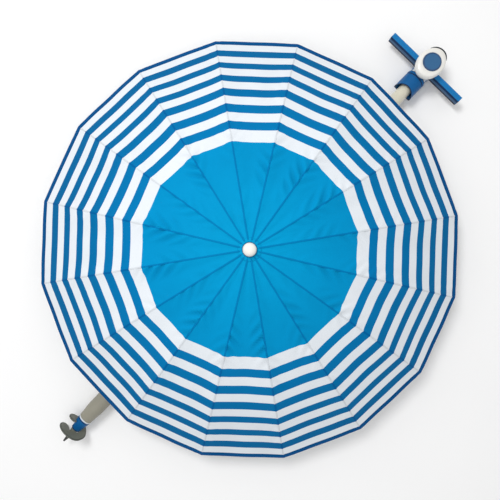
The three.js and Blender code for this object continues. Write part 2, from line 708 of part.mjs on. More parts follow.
function hubDomeSolid() {
  const outline = [[0, barFoot], [HUB_RADIUS, barFoot], ...hubOutline(0), [0, hubTop]];
  const dome = turnedZ(outline, 40).scale([1, HUB_ASPECT, 1]);
  const barWay = box(
    [-BAR_WIDTH / 2 - GAP, -HUB_SHOULDER_RADIUS, barFoot - 1],
    [BAR_WIDTH / 2 + GAP, HUB_SHOULDER_RADIUS, barTop + GAP],
  );
  const recess = rodZ(BUTTON_RADIUS + RUN, recessFloor, hubTop + 1, 40);
  const pocket = rodZ(SPRING_RADIUS + 2 * SPRING_WIRE, pocketFloor, recessFloor + 1);
  return cut(dome, barWay, recess, pocket);
}
piece(handle, "hub_dome", hubDomeSolid(), material.white);

function buttonSolid() {
  const cap = turnedZ(
    [
      [0, buttonFoot],
      [BUTTON_RADIUS, buttonFoot],
      [BUTTON_RADIUS, buttonTop - BUTTON_CHAMFER],
      [BUTTON_RADIUS - BUTTON_CHAMFER, buttonTop],
      [0, buttonTop],
    ],
    40,
  );
  const stem = rodZ(BUTTON_STEM_RADIUS, pocketFloor + BUTTON_TRAVEL + 2, buttonFoot + 1, 16);
  return join(cap, stem);
}
piece(handle, "hub_button", buttonSolid(), material.discBlue);

function springSolid() {
  const low = pocketFloor + GAP + SPRING_WIRE / 2;
  const high = buttonFoot - GAP - SPRING_WIRE / 2;
  class Coil extends THREE.Curve {
    getPoint(t, target = new THREE.Vector3()) {
      const angle = 2 * Math.PI * SPRING_TURNS * t;
      const rise = low + (high - low) * t;
      return target.set(SPRING_RADIUS * Math.cos(angle), SPRING_RADIUS * Math.sin(angle), rise);
    }
  }
  const wire = new THREE.Shape();
  wire.absarc(0, 0, SPRING_WIRE / 2, 0, 2 * Math.PI, false);
  const options = { extrudePath: new Coil(), steps: 12 * SPRING_TURNS, curveSegments: 3 };
  return solid(new THREE.ExtrudeGeometry(wire, options));
}
piece(handle, "button_spring", springSolid(), material.steel);

function bumperSolid() {
  const inner = HUB_SHOULDER_RADIUS + GAP;
  const start = (BUMPER_MIDDLE_ANGLE - BUMPER_HALF_ANGLE) * degrees;
  const end = (BUMPER_MIDDLE_ANGLE + BUMPER_HALF_ANGLE) * degrees;
  const outline = new THREE.Shape();
  outline.absarc(0, 0, inner + BUMPER_THICKNESS, start, end, false);
  outline.absarc(0, 0, inner, end, start, true);
  const strip = new THREE.ExtrudeGeometry(outline, {
    depth: BUMPER_HEIGHT,
    bevelEnabled: false,
    curveSegments: 12,
  });
  const set = solid(strip.translate(0, 0, hubTop - BUMPER_DROP - BUMPER_HEIGHT));
  return set.scale([1, HUB_ASPECT, 1]);
}
piece(handle, "hub_bumper", bumperSolid(), material.rubber);

// ---- Sand anchor --------------------------------------------------------------------------------
const ringEnd = LOWER_TUBE_START - GAP;
const plugStart = ringEnd - ANCHOR_RING_LENGTH - GAP;
const plugEnd = plugStart - PLUG_LENGTH;
piece(
  mast,
  "anchor_ring",
  tubeX(ANCHOR_RING_RADIUS, TAPER_RADIUS - TENON_STEP, ringEnd - ANCHOR_RING_LENGTH, ringEnd),
  material.white,
);

const plugRadiusAt = (x) =>
  PLUG_END_RADIUS + ((x - plugEnd) / PLUG_LENGTH) * (TAPER_RADIUS - PLUG_END_RADIUS);

function plugSolid() {
  const tenonRadius = TAPER_RADIUS - TENON_STEP - GAP;
  const tenonEnd = LOWER_TUBE_START + TENON_LENGTH;
  const body = turnedX([
    [plugEnd, 0],
    [plugEnd, PLUG_END_RADIUS],
    [plugStart, TAPER_RADIUS],
    [plugStart, tenonRadius],
    [tenonEnd, tenonRadius],
    [tenonEnd, 0],
  ]);
  return cut(body, rodX(SHANK_RADIUS + GAP, plugEnd - 1, plugEnd + SHANK_LENGTH + GAP, 24));
}
piece(mast, "anchor_plug", plugSolid(), material.blue);

const coreStart = plugEnd - GAP;
const coreEnd = coreStart - AUGER_CORE_LENGTH;

function flightSolid() {
  const outline = new THREE.SplineCurve(FLIGHT_OUTLINE.map(([a, r]) => new THREE.Vector2(a, r)));
  const positions = [];
  for (let i = 0; i <= FLIGHT_STEPS; i += 1) {
    const { x: turn, y: outer } = outline.getPoint(i / FLIGHT_STEPS);
    const x = FLIGHT_START - (FLIGHT_PITCH * turn) / 360;
    const clear = x + FLIGHT_THICKNESS > coreStart;
    const inner = clear ? plugRadiusAt(x + FLIGHT_THICKNESS / 2) + 2 * GAP : AUGER_CORE_RADIUS / 3;
    const angle = -turn * degrees;
    for (const [r, dx] of [[inner, -1], [outer, -1], [outer, 1], [inner, 1]]) {
      positions.push(x + (dx * FLIGHT_THICKNESS) / 2, r * Math.cos(angle), r * Math.sin(angle));
    }
  }
  const faces = [];
  for (let i = 0; i < FLIGHT_STEPS; i += 1) {
    for (let j = 0; j < 4; j += 1) {
      const [a, b] = [4 * i + j, 4 * i + ((j + 1) % 4)];
      faces.push(a, b, a + 4, b, b + 4, a + 4);
    }
  }
  const last = 4 * FLIGHT_STEPS;
  faces.push(0, 2, 1, 0, 3, 2, last, last + 1, last + 2, last, last + 2, last + 3);
  const blade = new THREE.BufferGeometry();
  blade.setAttribute("position", new THREE.Float32BufferAttribute(positions, 3));
  blade.setIndex(faces);
  return solid(blade);
}

function augerSolid() {
  const core = turnedX(
    [
      [coreEnd - TIP_LENGTH, 0],
      [coreEnd - TIP_LENGTH, TIP_END_RADIUS],
      [coreEnd, TIP_ROOT_RADIUS],
      [coreEnd, AUGER_CORE_RADIUS / 2],
      [coreStart, AUGER_CORE_RADIUS],
      [coreStart, SHANK_RADIUS],
      [plugEnd + SHANK_LENGTH, SHANK_RADIUS],
      [plugEnd + SHANK_LENGTH, 0],
    ],
    24,
  );
  return join(core, flightSolid());
}
piece(mast, "auger", augerSolid(), material.auger);

export default umbrella;
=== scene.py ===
"""Looks for the beach umbrella: striped sewn canopy, moulded and tubular mast parts, light and camera.
Everything is in metres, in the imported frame: +X along the mast to the T handle, +Z the canopy's axis."""

import math

import bmesh
import bpy
import numpy as np
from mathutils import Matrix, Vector


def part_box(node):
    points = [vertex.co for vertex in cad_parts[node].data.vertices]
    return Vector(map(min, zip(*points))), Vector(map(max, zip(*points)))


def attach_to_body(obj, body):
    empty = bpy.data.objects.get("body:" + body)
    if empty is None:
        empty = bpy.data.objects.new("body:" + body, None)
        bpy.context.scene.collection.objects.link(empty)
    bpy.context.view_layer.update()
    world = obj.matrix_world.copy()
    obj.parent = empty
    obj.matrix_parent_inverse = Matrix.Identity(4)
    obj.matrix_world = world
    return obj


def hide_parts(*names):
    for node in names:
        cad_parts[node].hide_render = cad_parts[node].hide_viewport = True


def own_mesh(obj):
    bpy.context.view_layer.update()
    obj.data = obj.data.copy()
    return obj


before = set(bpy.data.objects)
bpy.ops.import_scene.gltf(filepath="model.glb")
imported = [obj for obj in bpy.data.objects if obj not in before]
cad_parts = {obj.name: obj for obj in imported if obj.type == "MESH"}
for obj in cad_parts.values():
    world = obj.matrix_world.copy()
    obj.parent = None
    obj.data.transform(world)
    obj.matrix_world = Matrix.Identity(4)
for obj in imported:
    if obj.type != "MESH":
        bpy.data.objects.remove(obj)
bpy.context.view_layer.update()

# ---- Sizes --------------------------------------------------------------------------------------
RIBS = 16
FIRST_RIB = math.radians(8.5)
RIB_STEP = 2 * math.pi / RIBS
CROWN_SLOPE = math.radians(4)
SKIRT_SLOPE = math.radians(35.7)
DOME_ARC = 1.174  # radius of the dome's curve along a seam
CAD_CLOTH = 0.0016  # thickness of the canopy's CAD skin
CLOTH = 0.0008
TUBE_RADIUS = 0.024  # of the upper mast tube
MAST_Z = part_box("upper_tube")[1].z - TUBE_RADIUS
HANDLE_X = (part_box("handle_bar")[0].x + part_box("handle_bar")[1].x) / 2
RIM_RADIUS = 0.75

# Stripes, as distances along a seam from the canopy's axis
FIELD = 0.3435  # of plain blue in the middle
FIRST_WHITE = 0.0430
WHITE = 0.0367
BLUE = 0.0339
STRIPES = 7  # white ones
THREAD = 0.0007  # from one thread of the weave to the next


# ---- Dome of the canopy --------------------------------------------------------------------------
ARC_END = DOME_ARC * (SKIRT_SLOPE - CROWN_SLOPE)


def seam(s):
    """(radius, drop, slope) of the middle of the cloth along a seam."""
    slope = CROWN_SLOPE + min(s, ARC_END) / DOME_ARC
    skirt = max(s - ARC_END, 0)
    radius = DOME_ARC * (math.sin(slope) - math.sin(CROWN_SLOPE)) + skirt * math.cos(slope)
    drop = DOME_ARC * (math.cos(CROWN_SLOPE) - math.cos(slope)) + skirt * math.sin(slope)
    return radius, drop, slope


SEAM = ARC_END + (RIM_RADIUS - seam(ARC_END)[0]) / math.cos(SKIRT_SLOPE)
DOME_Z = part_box("canopy")[1].z - CAD_CLOTH / 2 + seam(0.008)[1]


# ---- Mesh helpers -------------------------------------------------------------------------------
def make(name, verts, faces, look):
    """A mesh object with smooth faces and one material."""
    mesh = bpy.data.meshes.new(name)
    mesh.from_pydata([tuple(v) for v in verts], [], [tuple(f) for f in faces])
    mesh.validate()
    mesh.shade_smooth()
    obj = bpy.data.objects.new(name, mesh)
    bpy.context.scene.collection.objects.link(obj)
    mesh.materials.append(look)
    return obj


def soften(obj, width=0.0008, segments=3, angle=28):
    """Rounds the sharp edges, as a moulding's are."""
    bevel = obj.modifiers.new("edge", "BEVEL")
    bevel.width = width
    bevel.segments = segments
    bevel.limit_method = "ANGLE"
    bevel.angle_limit = math.radians(angle)
    bevel.harden_normals = True
    return obj


def turned(name, profile, look, axis="X", centre=(0, 0), segments=96, closed=False):
    """A body turned about X or Z from (along, radius) points; centre is the axis's other two coordinates."""
    rings = []
    verts = []
    for along, radius in profile:
        if radius < 1e-7:
            rings.append([len(verts)])
            verts.append((along, 0.0, 0.0))
            continue
        rings.append(list(range(len(verts), len(verts) + segments)))
        for i in range(segments):
            a = 2 * math.pi * i / segments
            verts.append((along, radius * math.cos(a), radius * math.sin(a)))
    faces = []
    pairs = list(zip(rings, rings[1:]))
    if closed:
        pairs.append((rings[-1], rings[0]))
    for lower, upper in pairs:
        for i in range(segments):
            j = (i + 1) % segments
            if len(lower) == 1 and len(upper) == 1:
                break
            if len(lower) == 1:
                faces.append((lower[0], upper[j], upper[i]))
            elif len(upper) == 1:
                faces.append((lower[i], lower[j], upper[0]))
            else:
                faces.append((lower[i], lower[j], upper[j], upper[i]))
    if axis == "X":
        placed = [(x, y + centre[0], z + centre[1]) for x, y, z in verts]
    else:
        placed = [(y + centre[0], z + centre[1], x) for x, y, z in verts]
    obj = make(name, placed, faces, look)
    outward(obj)
    return obj


def outward(obj):
    """Turns every face to point out of its closed body."""
    work = bmesh.new()
    work.from_mesh(obj.data)
    bmesh.ops.recalc_face_normals(work, faces=work.faces)
    work.to_mesh(obj.data)
    work.free()


def prism(name, outline, low, high, look, origin):
    """An outline in X and Z, given length along Y."""
    n = len(outline)
    verts = [(x, low, z) for x, z in outline] + [(x, high, z) for x, z in outline]
    faces = [tuple(range(n)), tuple(range(2 * n - 1, n - 1, -1))]
    faces += [(i, (i + 1) % n, n + (i + 1) % n, n + i) for i in range(n)]
    obj = make(name, [Vector(v) + Vector(origin) for v in verts], faces, look)
    outward(obj)
    return obj


def attach(obj, body, slot, *nodes):
    """Rides a piece on a body and hides the CAD nodes that it stands for; slot is not used."""
    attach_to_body(obj, body)
    if nodes:
        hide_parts(*nodes)
    return obj


# ---- Materials ----------------------------------------------------------------------------------
def srgb(r, g, b):
    """A colour given as 0 to 255 values, in linear light."""
    return tuple(
        (c / 255 / 12.92 if c / 255 <= 0.04045 else ((c / 255 + 0.055) / 1.055) ** 2.4) for c in (r, g, b)
    ) + (1.0,)


class Nodes:
    """A material's node tree with short ways to add and join nodes."""

    def __init__(self, name):
        self.material = bpy.data.materials.new(name)
        self.material.use_nodes = True
        self.tree = self.material.node_tree
        self.shader = self.tree.nodes["Principled BSDF"]

    def add(self, kind, **values):
        node = self.tree.nodes.new("ShaderNode" + kind)
        for key, value in values.items():
            setattr(node, key, value)
        return node

    def link(self, a, b):
        self.tree.links.new(a, b)

    def noise(self, source, scale, detail=4, rough=0.55):
        node = self.add("TexNoise")
        node.inputs["Scale"].default_value = scale
        node.inputs["Detail"].default_value = detail
        node.inputs["Roughness"].default_value = rough
        self.link(source, node.inputs["Vector"])
        return node.outputs["Fac"]

    def math(self, operation, a, b=0.0, clamp=False):
        node = self.add("Math", operation=operation, use_clamp=clamp)
        for value, pin in ((a, node.inputs[0]), (b, node.inputs[1])):
            if isinstance(value, (int, float)):
                pin.default_value = value
            else:
                self.link(value, pin)
        return node.outputs[0]

    def mix(self, factor, a, b):
        node = self.add("Mix", data_type="RGBA")
        for value, pin in ((factor, node.inputs[0]), (a, node.inputs[6]), (b, node.inputs[7])):
            if isinstance(value, (int, float, tuple)):
                pin.default_value = value
            else:
                self.link(value, pin)
        return node.outputs[2]

    def remap(self, value, low, high):
        node = self.add("MapRange")
        node.inputs["To Min"].default_value = low
        node.inputs["To Max"].default_value = high
        self.link(value, node.inputs["Value"])
        return node.outputs["Result"]

    def bump(self, height, distance, strength=1.0, under=None):
        node = self.add("Bump")
        node.inputs["Strength"].default_value = strength
        node.inputs["Distance"].default_value = distance
        self.link(height, node.inputs["Height"])
        if under is not None:
            self.link(under, node.inputs["Normal"])
        return node.outputs["Normal"]

    def place(self):
        return self.add("TexCoord").outputs["Object"]


def shade(colour, factor):
    return tuple(c * factor for c in colour[:3]) + (1.0,)


def moulded(name, colour, rough=0.45, grain=1400, depth=0.00012, coat=0.0, wear=0.5, glare=0.5):
    """Moulded plastic: fine spark grain, faint flow mottling, and scuffs that are lighter and duller."""
    n = Nodes(name)
    place = n.place()
    mottle = n.noise(place, 18, 3)
    scuffs = n.noise(place, 95, 8, 0.75)
    worn = n.math("MULTIPLY", n.math("GREATER_THAN", scuffs, 0.66), wear)
    base = n.mix(mottle, shade(colour, 0.86), shade(colour, 1.1))
    n.link(n.mix(worn, base, shade(colour, 1.35)), n.shader.inputs["Base Color"])
    n.link(n.remap(scuffs, rough - 0.1, rough + 0.16), n.shader.inputs["Roughness"])
    n.shader.inputs["Coat Weight"].default_value = coat
    n.shader.inputs["Specular IOR Level"].default_value = glare
    n.link(n.bump(n.noise(place, grain, 2), depth), n.shader.inputs["Normal"])
    return n.material


def coated_tube(name, colour, rough, gloss=0.0):
    """Powder-coated tube: orange-peel skin, fine scratches along the mast and a little sand dulling."""
    n = Nodes(name)
    place = n.place()
    stretch = n.add("Mapping")
    stretch.inputs["Scale"].default_value = (6, 420, 420)
    n.link(place, stretch.inputs["Vector"])
    scratches = n.noise(stretch.outputs["Vector"], 1.0, 5, 0.7)
    cloudy = n.noise(place, 22, 4)
    base = n.mix(cloudy, shade(colour, 0.9), shade(colour, 1.07))
    marks = n.math("MULTIPLY", n.math("GREATER_THAN", scratches, 0.68), 0.35)
    n.link(n.mix(marks, base, shade(colour, 0.72)), n.shader.inputs["Base Color"])
    n.link(n.remap(cloudy, rough - 0.07, rough + 0.1), n.shader.inputs["Roughness"])
    n.shader.inputs["Coat Weight"].default_value = gloss
    n.shader.inputs["Coat Roughness"].default_value = 0.12
    peel = n.bump(n.noise(place, 420, 2), 0.00006)
    n.link(n.bump(scratches, 0.00003, 0.6, peel), n.shader.inputs["Normal"])
    return n.material


def metal(name, colour, rough=0.35, along=(8, 8, 600)):
    """Drawn aluminium or steel, brushed along one axis."""
    n = Nodes(name)
    place = n.place()
    stretch = n.add("Mapping")
    stretch.inputs["Scale"].default_value = along
    n.link(place, stretch.inputs["Vector"])
    brushed = n.noise(stretch.outputs["Vector"], 1.0, 6, 0.7)
    spots = n.noise(place, 60, 5)
    n.link(n.mix(spots, shade(colour, 0.82), shade(colour, 1.1)), n.shader.inputs["Base Color"])
    n.shader.inputs["Metallic"].default_value = 1.0
    n.link(n.remap(brushed, rough - 0.1, rough + 0.15), n.shader.inputs["Roughness"])
    n.link(n.bump(brushed, 0.00004), n.shader.inputs["Normal"])
    return n.material


WHITE_CLOTH = srgb(232, 238, 244)


def scaled(n, colour, factor):
    """A colour output made darker or lighter."""
    node = n.add("VectorMath", operation="SCALE")
    n.link(colour, node.inputs[0])
    node.inputs["Scale"].default_value = factor
    return node.outputs[0]


def stripe_nodes(n, arc_share):
    """(colour, is it white) of the cloth at a share of the seam's length."""
    ramp = n.add("ValToRGB")
    ramp.color_ramp.interpolation = "CONSTANT"
    edges = [FIELD, FIELD + FIRST_WHITE]
    for _ in range(STRIPES - 1):
        edges.append(edges[-1] + BLUE)
        edges.append(edges[-1] + WHITE)
    stops = ramp.color_ramp.elements
    stops[0].position, stops[0].color = 0.0, (0, 0, 0, 1)
    stops[1].position, stops[1].color = edges[0] / SEAM, (1, 1, 1, 1)
    for i, edge in enumerate(edges[1:]):
        value = float(i % 2)
        stops.new(edge / SEAM).color = (value, value, value, 1)
    n.link(arc_share, ramp.inputs["Fac"])
    # The blue darkens outwards: the step at the first stripe is a darker dye, and the rest of the darkening
    # from the middle to the rim is painted shade of the cloth sloping away from the light
    blue_dye_and_shade = n.add("ValToRGB")
    stops = blue_dye_and_shade.color_ramp.elements
    stops[0].position, stops[0].color = 0.0, srgb(2, 154, 206)
    stops[1].position, stops[1].color = 1.0, srgb(7, 80, 136)
    for at, colour in (
        (FIELD / SEAM, srgb(1, 143, 199)),
        ((FIELD + 0.04) / SEAM, srgb(2, 120, 180)),
        (0.72, srgb(4, 108, 165)),
        (0.955, srgb(8, 101, 156)),
        (0.975, srgb(6, 86, 142)),
    ):
        stops.new(at).color = colour
    n.link(arc_share, blue_dye_and_shade.inputs["Fac"])
    return blue_dye_and_shade.outputs["Color"], ramp.outputs["Color"]


def sewn_cloth(name, tone=1.0):
    """Striped woven polyester. The piece's UV map holds metres across the cloth and metres along a seam.
    tone darkens it, as a seam of several layers is."""
    n = Nodes(name)
    uv = n.add("UVMap", uv_map="cloth")
    crease_shade = n.add("Attribute", attribute_name="crease_shade").outputs["Fac"]
    parts = n.add("SeparateXYZ")
    n.link(uv.outputs["UV"], parts.inputs["Vector"])
    across, along = parts.outputs["X"], parts.outputs["Y"]
    blue, white = stripe_nodes(n, n.math("DIVIDE", along, SEAM))
    place = n.place()
    cloudy = n.noise(place, 7, 5, 0.6)
    slubs = n.noise(place, 520, 3, 0.7)
    faded = n.mix(cloudy, scaled(n, blue, 0.9), scaled(n, blue, 1.1))
    pale = n.mix(cloudy, WHITE_CLOTH, shade(WHITE_CLOTH, 0.95))
    seamed = n.mix(1 - tone, faded, srgb(0, 78, 170)) if tone < 1 else faded
    colour = n.mix(white, scaled(n, seamed, 0.5 + tone / 2), scaled(n, pale, 1 - (1 - tone) * 0.5))
    colour = n.mix(slubs, scaled(n, colour, 0.94), scaled(n, colour, 1.04))
    # Painted shade: the cloth is darkened in the troughs of its puckers and folds
    trough_shade = n.math("MULTIPLY", n.math("MULTIPLY", crease_shade, -1.0, True), 0.7, True)
    colour = n.mix(trough_shade, colour, scaled(n, colour, 0.68))
    # Plain weave
    thread = 2 * math.pi / THREAD
    warp = n.math("SINE", n.math("MULTIPLY", across, thread))
    weft = n.math("SINE", n.math("MULTIPLY", along, thread))
    height = n.math("ADD", n.math("MULTIPLY", n.math("MULTIPLY", warp, weft), 0.5), slubs)
    normal = n.bump(height, 0.00012, 0.6)
    n.link(colour, n.shader.inputs["Base Color"])
    n.shader.inputs["Specular IOR Level"].default_value = 0.04
    n.link(n.remap(slubs, 0.6, 0.84), n.shader.inputs["Roughness"])
    n.link(normal, n.shader.inputs["Normal"])
    return n.material


# ---- Cloth of the canopy -------------------------------------------------------------------------
BOW = 0.0024  # how far a line of constant cloth bows out at the middle of a gore
SAG = 0.0070  # how far a gore's middle hangs below the straight line between its ribs
PUCKER = 0.0045  # depth of the puckers beside a seam
rng = np.random.default_rng(16)
gore_phase = rng.uniform(0, 2 * math.pi, (RIBS, 4))


def gore_lift(gore, g, s, painted_shade=False):
    """Small folds of a gore: g is -1 on its first seam and 1 on its next."""
    a, b, c, e = gore_phase[gore % RIBS]
    radius = seam(s)[0]
    near = (1 - abs(g)) * radius * math.tan(RIB_STEP / 2)
    side = a if g < 0 else b
    grow = min(1.0, s / 0.1)
    # Puckers run out from a seam at a slant and die away before the middle of the gore, where two petals
    # meet; most lie in the outer part of the plain field
    where = math.exp(-((s - FIELD * 0.82) / 0.085) ** 2) + 0.16
    patch = 0.5 + 0.5 * math.sin(s * 17 + 2.7 * side)
    slant = 2 * math.pi * (s - 1.25 * near) / 0.046 + side + 1.1 * math.sin(s * 23 + c)
    fade = math.sin(math.pi / 2 * min(1.0, abs(g) / 0.35)) ** 2
    reach = math.exp(-(near / 0.042) ** 2) * min(1.0, near / 0.005)
    puckers = PUCKER * fade * where * patch * reach * math.sin(slant)
    folds = 0.0012 * math.sin(math.pi * g + c) * math.sin(math.pi * g) * math.sin(s * 9.5 + e)
    sag = -SAG * (1 - g * g) * math.sin(math.pi * min(s / SEAM, 1.0)) ** 0.8
    # The pucker and fold depth alone, which the cloth's material turns into painted shade in the troughs
    if painted_shade:
        return (puckers * 0.8 + folds * 0.6) * grow / PUCKER
    return (puckers + folds) * grow + sag


def cloth_point(rib, u, s, lift=0.0):
    """A point of the petal of cloth around a rib: u runs from -1 to 1 between the middles of its gores."""
    out = abs(u)
    side = 1 if u >= 0 else -1
    gore = rib if side > 0 else rib - 1
    g = -1 + out if side > 0 else 1 - out
    bowed = s + BOW * (1 - (1 - out) ** 2)
    radius, drop, slope = seam(bowed)
    near = Vector((radius, 0.0))
    far = Vector((radius * math.cos(RIB_STEP), side * radius * math.sin(RIB_STEP)))
    flat = near + (far - near) * (out / 2)
    angle = FIRST_RIB + rib * RIB_STEP
    middle = angle + side * RIB_STEP / 2
    normal = Vector((math.sin(slope) * math.cos(middle), math.sin(slope) * math.sin(middle), math.cos(slope)))
    x = flat.x * math.cos(angle) - flat.y * math.sin(angle)
    y = flat.x * math.sin(angle) + flat.y * math.cos(angle)
    return Vector((x, y, DOME_Z - drop)) + normal * (gore_lift(gore, g, bowed) + lift)


def cloth_normal(rib, u, s):
    du, ds = 0.01, 0.002
    low, high = u - du, u + du
    if u > 0:
        low = max(low, 0.0)
    elif u < 0:
        high = min(high, 0.0)
    a = cloth_point(rib, high, s) - cloth_point(rib, low, s)
    b = cloth_point(rib, u, s + ds) - cloth_point(rib, u, s - ds)
    found = a.cross(b).normalized()
    return found if found.z > 0 else -found


def cloth_patch(name, rib, columns, rows, look, thickness, lift=0.0):
    """A closed thin sheet over the given columns (u, or metres across when given a function) and rows (s)."""
    nu, ns = len(columns), len(rows)
    top, bottom, normals, uv = [], [], [], []
    for s in rows:
        radius = seam(s)[0]
        for c in columns:
            u = c(radius) if callable(c) else c
            n = cloth_normal(rib, u, s)
            p = cloth_point(rib, u, s)
            under = thickness * 0.6 if abs(u) > 1 else 0.0
            top.append(p + n * (lift + thickness / 2 - under))
            bottom.append(p + n * (lift - thickness / 2))
            normals.append(n)
            uv.append((u * radius * math.sin(RIB_STEP) / 2, s))
    count = nu * ns
    faces = []
    for i in range(ns - 1):
        for j in range(nu - 1):
            a, b = i * nu + j, i * nu + j + 1
            faces.append((a, a + nu, b + nu, b))
            faces.append((count + a, count + b, count + b + nu, count + a + nu))
    ring = [(0, j) for j in range(nu)] + [(i, nu - 1) for i in range(1, ns)]
    ring += [(ns - 1, j) for j in range(nu - 2, -1, -1)] + [(i, 0) for i in range(ns - 2, 0, -1)]
    index = [i * nu + j for i, j in ring]
    for a, b in zip(index, index[1:] + index[:1]):
        faces.append((a, b, count + b, count + a))
    obj = make(name, top + bottom, faces, look)
    layer = obj.data.uv_layers.new(name="cloth")
    loops = np.zeros(len(obj.data.loops), dtype=np.int32)
    obj.data.loops.foreach_get("vertex_index", loops)
    table = np.array(uv + uv, dtype=np.float32)
    layer.data.foreach_set("uv", table[loops].ravel())
    # Each point's pucker depth, read by the cloth's material as painted shade in the troughs
    values = obj.data.attributes.new("crease_shade", "FLOAT", "POINT")
    depth = []
    for s in rows:
        for c in columns:
            u = c(seam(s)[0]) if callable(c) else c
            gore, g = (rib, -1 + u) if u >= 0 else (rib - 1, 1 + u)
            depth.append(gore_lift(gore, g, s, True))
    values.data.foreach_set("value", np.array(depth + depth, dtype=np.float32))
    both = [tuple(n) for n in normals] + [tuple(-n) for n in normals]
    outward(obj)
    obj.data.normals_split_custom_set_from_vertices(both)
    return obj


HOLE = 0.009
PATCH = 0.0305  # radius of the sewn patch over the crown, where the gores begin
HEM = 0.014
HEM_THICKNESS = 0.0021
TAPE = 0.0011  # thickness of the tape over a seam
TUCK = 0.02  # how far every other petal goes on under its neighbours, as a share of its half width


def build_canopy():
    """Sixteen petals, each sewn along its rib's seam and ending at the middle of the gores beside it."""
    cloth = sewn_cloth("striped_cloth")
    seam_cloth = sewn_cloth("seam_cloth", tone=0.7)
    hem_cloth = sewn_cloth("hem_cloth", tone=0.9)
    half = 12
    columns = [i / half for i in range(-half, half + 1)]
    tucked = [-1.0 - TUCK, -1.0 - TUCK / 20] + columns + [1.0 + TUCK / 20, 1.0 + TUCK]
    steps = 92
    rows = [PATCH + (SEAM - PATCH) * i / steps for i in range(steps + 1)]
    band = [
        lambda r, w=w: max(-1.0, min(1.0, w / (r * math.sin(RIB_STEP) / 2)))
        for w in (-0.0022, -0.0013, 0.0, 0.0013, 0.0022)
    ]
    seam_rows = [PATCH + (SEAM - PATCH) * i / 80 for i in range(81)]
    inner_rows = [0.02, 0.024, 0.028, PATCH + 0.001]
    hem_rows = [SEAM - HEM, SEAM - HEM * 0.6, SEAM - HEM * 0.25, SEAM + 0.0006]
    for rib in range(RIBS):
        body = "rib_%02d" % (rib + 1)
        edge = tucked if rib % 2 else columns
        petal = cloth_patch("petal_%02d" % (rib + 1), rib, edge, rows, cloth, CLOTH)
        hem = cloth_patch("hem_%02d" % (rib + 1), rib, columns, hem_rows, hem_cloth, HEM_THICKNESS)
        tape = cloth_patch("seam_%02d" % (rib + 1), rib, band, seam_rows, seam_cloth, TAPE, CLOTH * 0.75)
        name = "crown_seam_%02d" % (rib + 1)
        crown_seam = cloth_patch(name, rib, band, inner_rows, seam_cloth, TAPE, 0.0001)
        attach(crown_seam, "crown", "canopy_cloth")
        for piece in (petal, hem, tape):
            attach(piece, body, "canopy_cloth")
            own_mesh(piece)
    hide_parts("canopy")
    build_crown_cloth(cloth)


def build_crown_cloth(cloth):
    """The patch over the crown, tucked under the gores' inner ends."""
    rows = [HOLE, 0.016, 0.023, 0.027, PATCH, 0.036]
    top = [(DOME_Z - seam(s)[1] + CLOTH / 2 - (0.0009 if s > PATCH - 0.001 else 0.0), s) for s in rows]
    low = [(z - CLOTH, s) for z, s in reversed(top)]
    patch = turned("crown_cloth", top + low, cloth, "Z", closed=True)
    layer = patch.data.uv_layers.new(name="cloth")
    for loop in patch.data.loops:
        x, y, _ = patch.data.vertices[loop.vertex_index].co
        layer.data[loop.index].uv = (x, math.hypot(x, y))
    attach(patch, "crown", "canopy_cloth")


build_canopy()


# ---- Moulded and tubular parts --------------------------------------------------------------------
WHITE_PLASTIC = srgb(238, 236, 230)
BLUE_PLASTIC = srgb(0, 90, 150)
NAVY_PLASTIC = srgb(2, 44, 84)
TUBE_WALL = 0.0018
LOWER_BORE = 0.0278
TAPER = 0.058  # length of the lower tube's tapered end
PLUG_ROOT = 0.0255  # radii of the anchor plug at its two ends
PLUG_TIP = 0.017
# (height, radius) up the side of the hub along the mast
HUB_SIDE = [(0.036, 0.046), (0.062, 0.046), (0.076, 0.050), (0.094, 0.059), (0.106, 0.062), (0.116, 0.057)]
HUB_TOP = 0.121
HUB_ASPECT = 0.79  # of the hub's width along the bar to its length along the mast
BUTTON_TOP = HUB_TOP + 0.004
RECESS = 0.0332  # radius of the hub's recess for the button
SOCKET_END = 0.887
SOCKET_LENGTH = 0.076
SOCKET_RADIUS = 0.038
SOCKET_WALL = 0.0035
ARCH = 0.015  # depth of the arched mouth of the socket
BAR_HALF = 0.172  # half the T bar's length, width and height
BAR_SIDE = 0.013
BAR_RISE = 0.016
FLIGHT_START = -0.903
FLIGHT_PITCH = 0.044
FLIGHT_THICKNESS = 0.0055
LUG = (0.40189, 0.33383)  # (radius, height) of a stretcher's pivot on its rib
TIP = (0.7507, 0.1181)  # of a rib's tip
CROWN_WIRE = (0.031287, 0.438611)
RUNNER_WIRE = (0.028, 0.134)

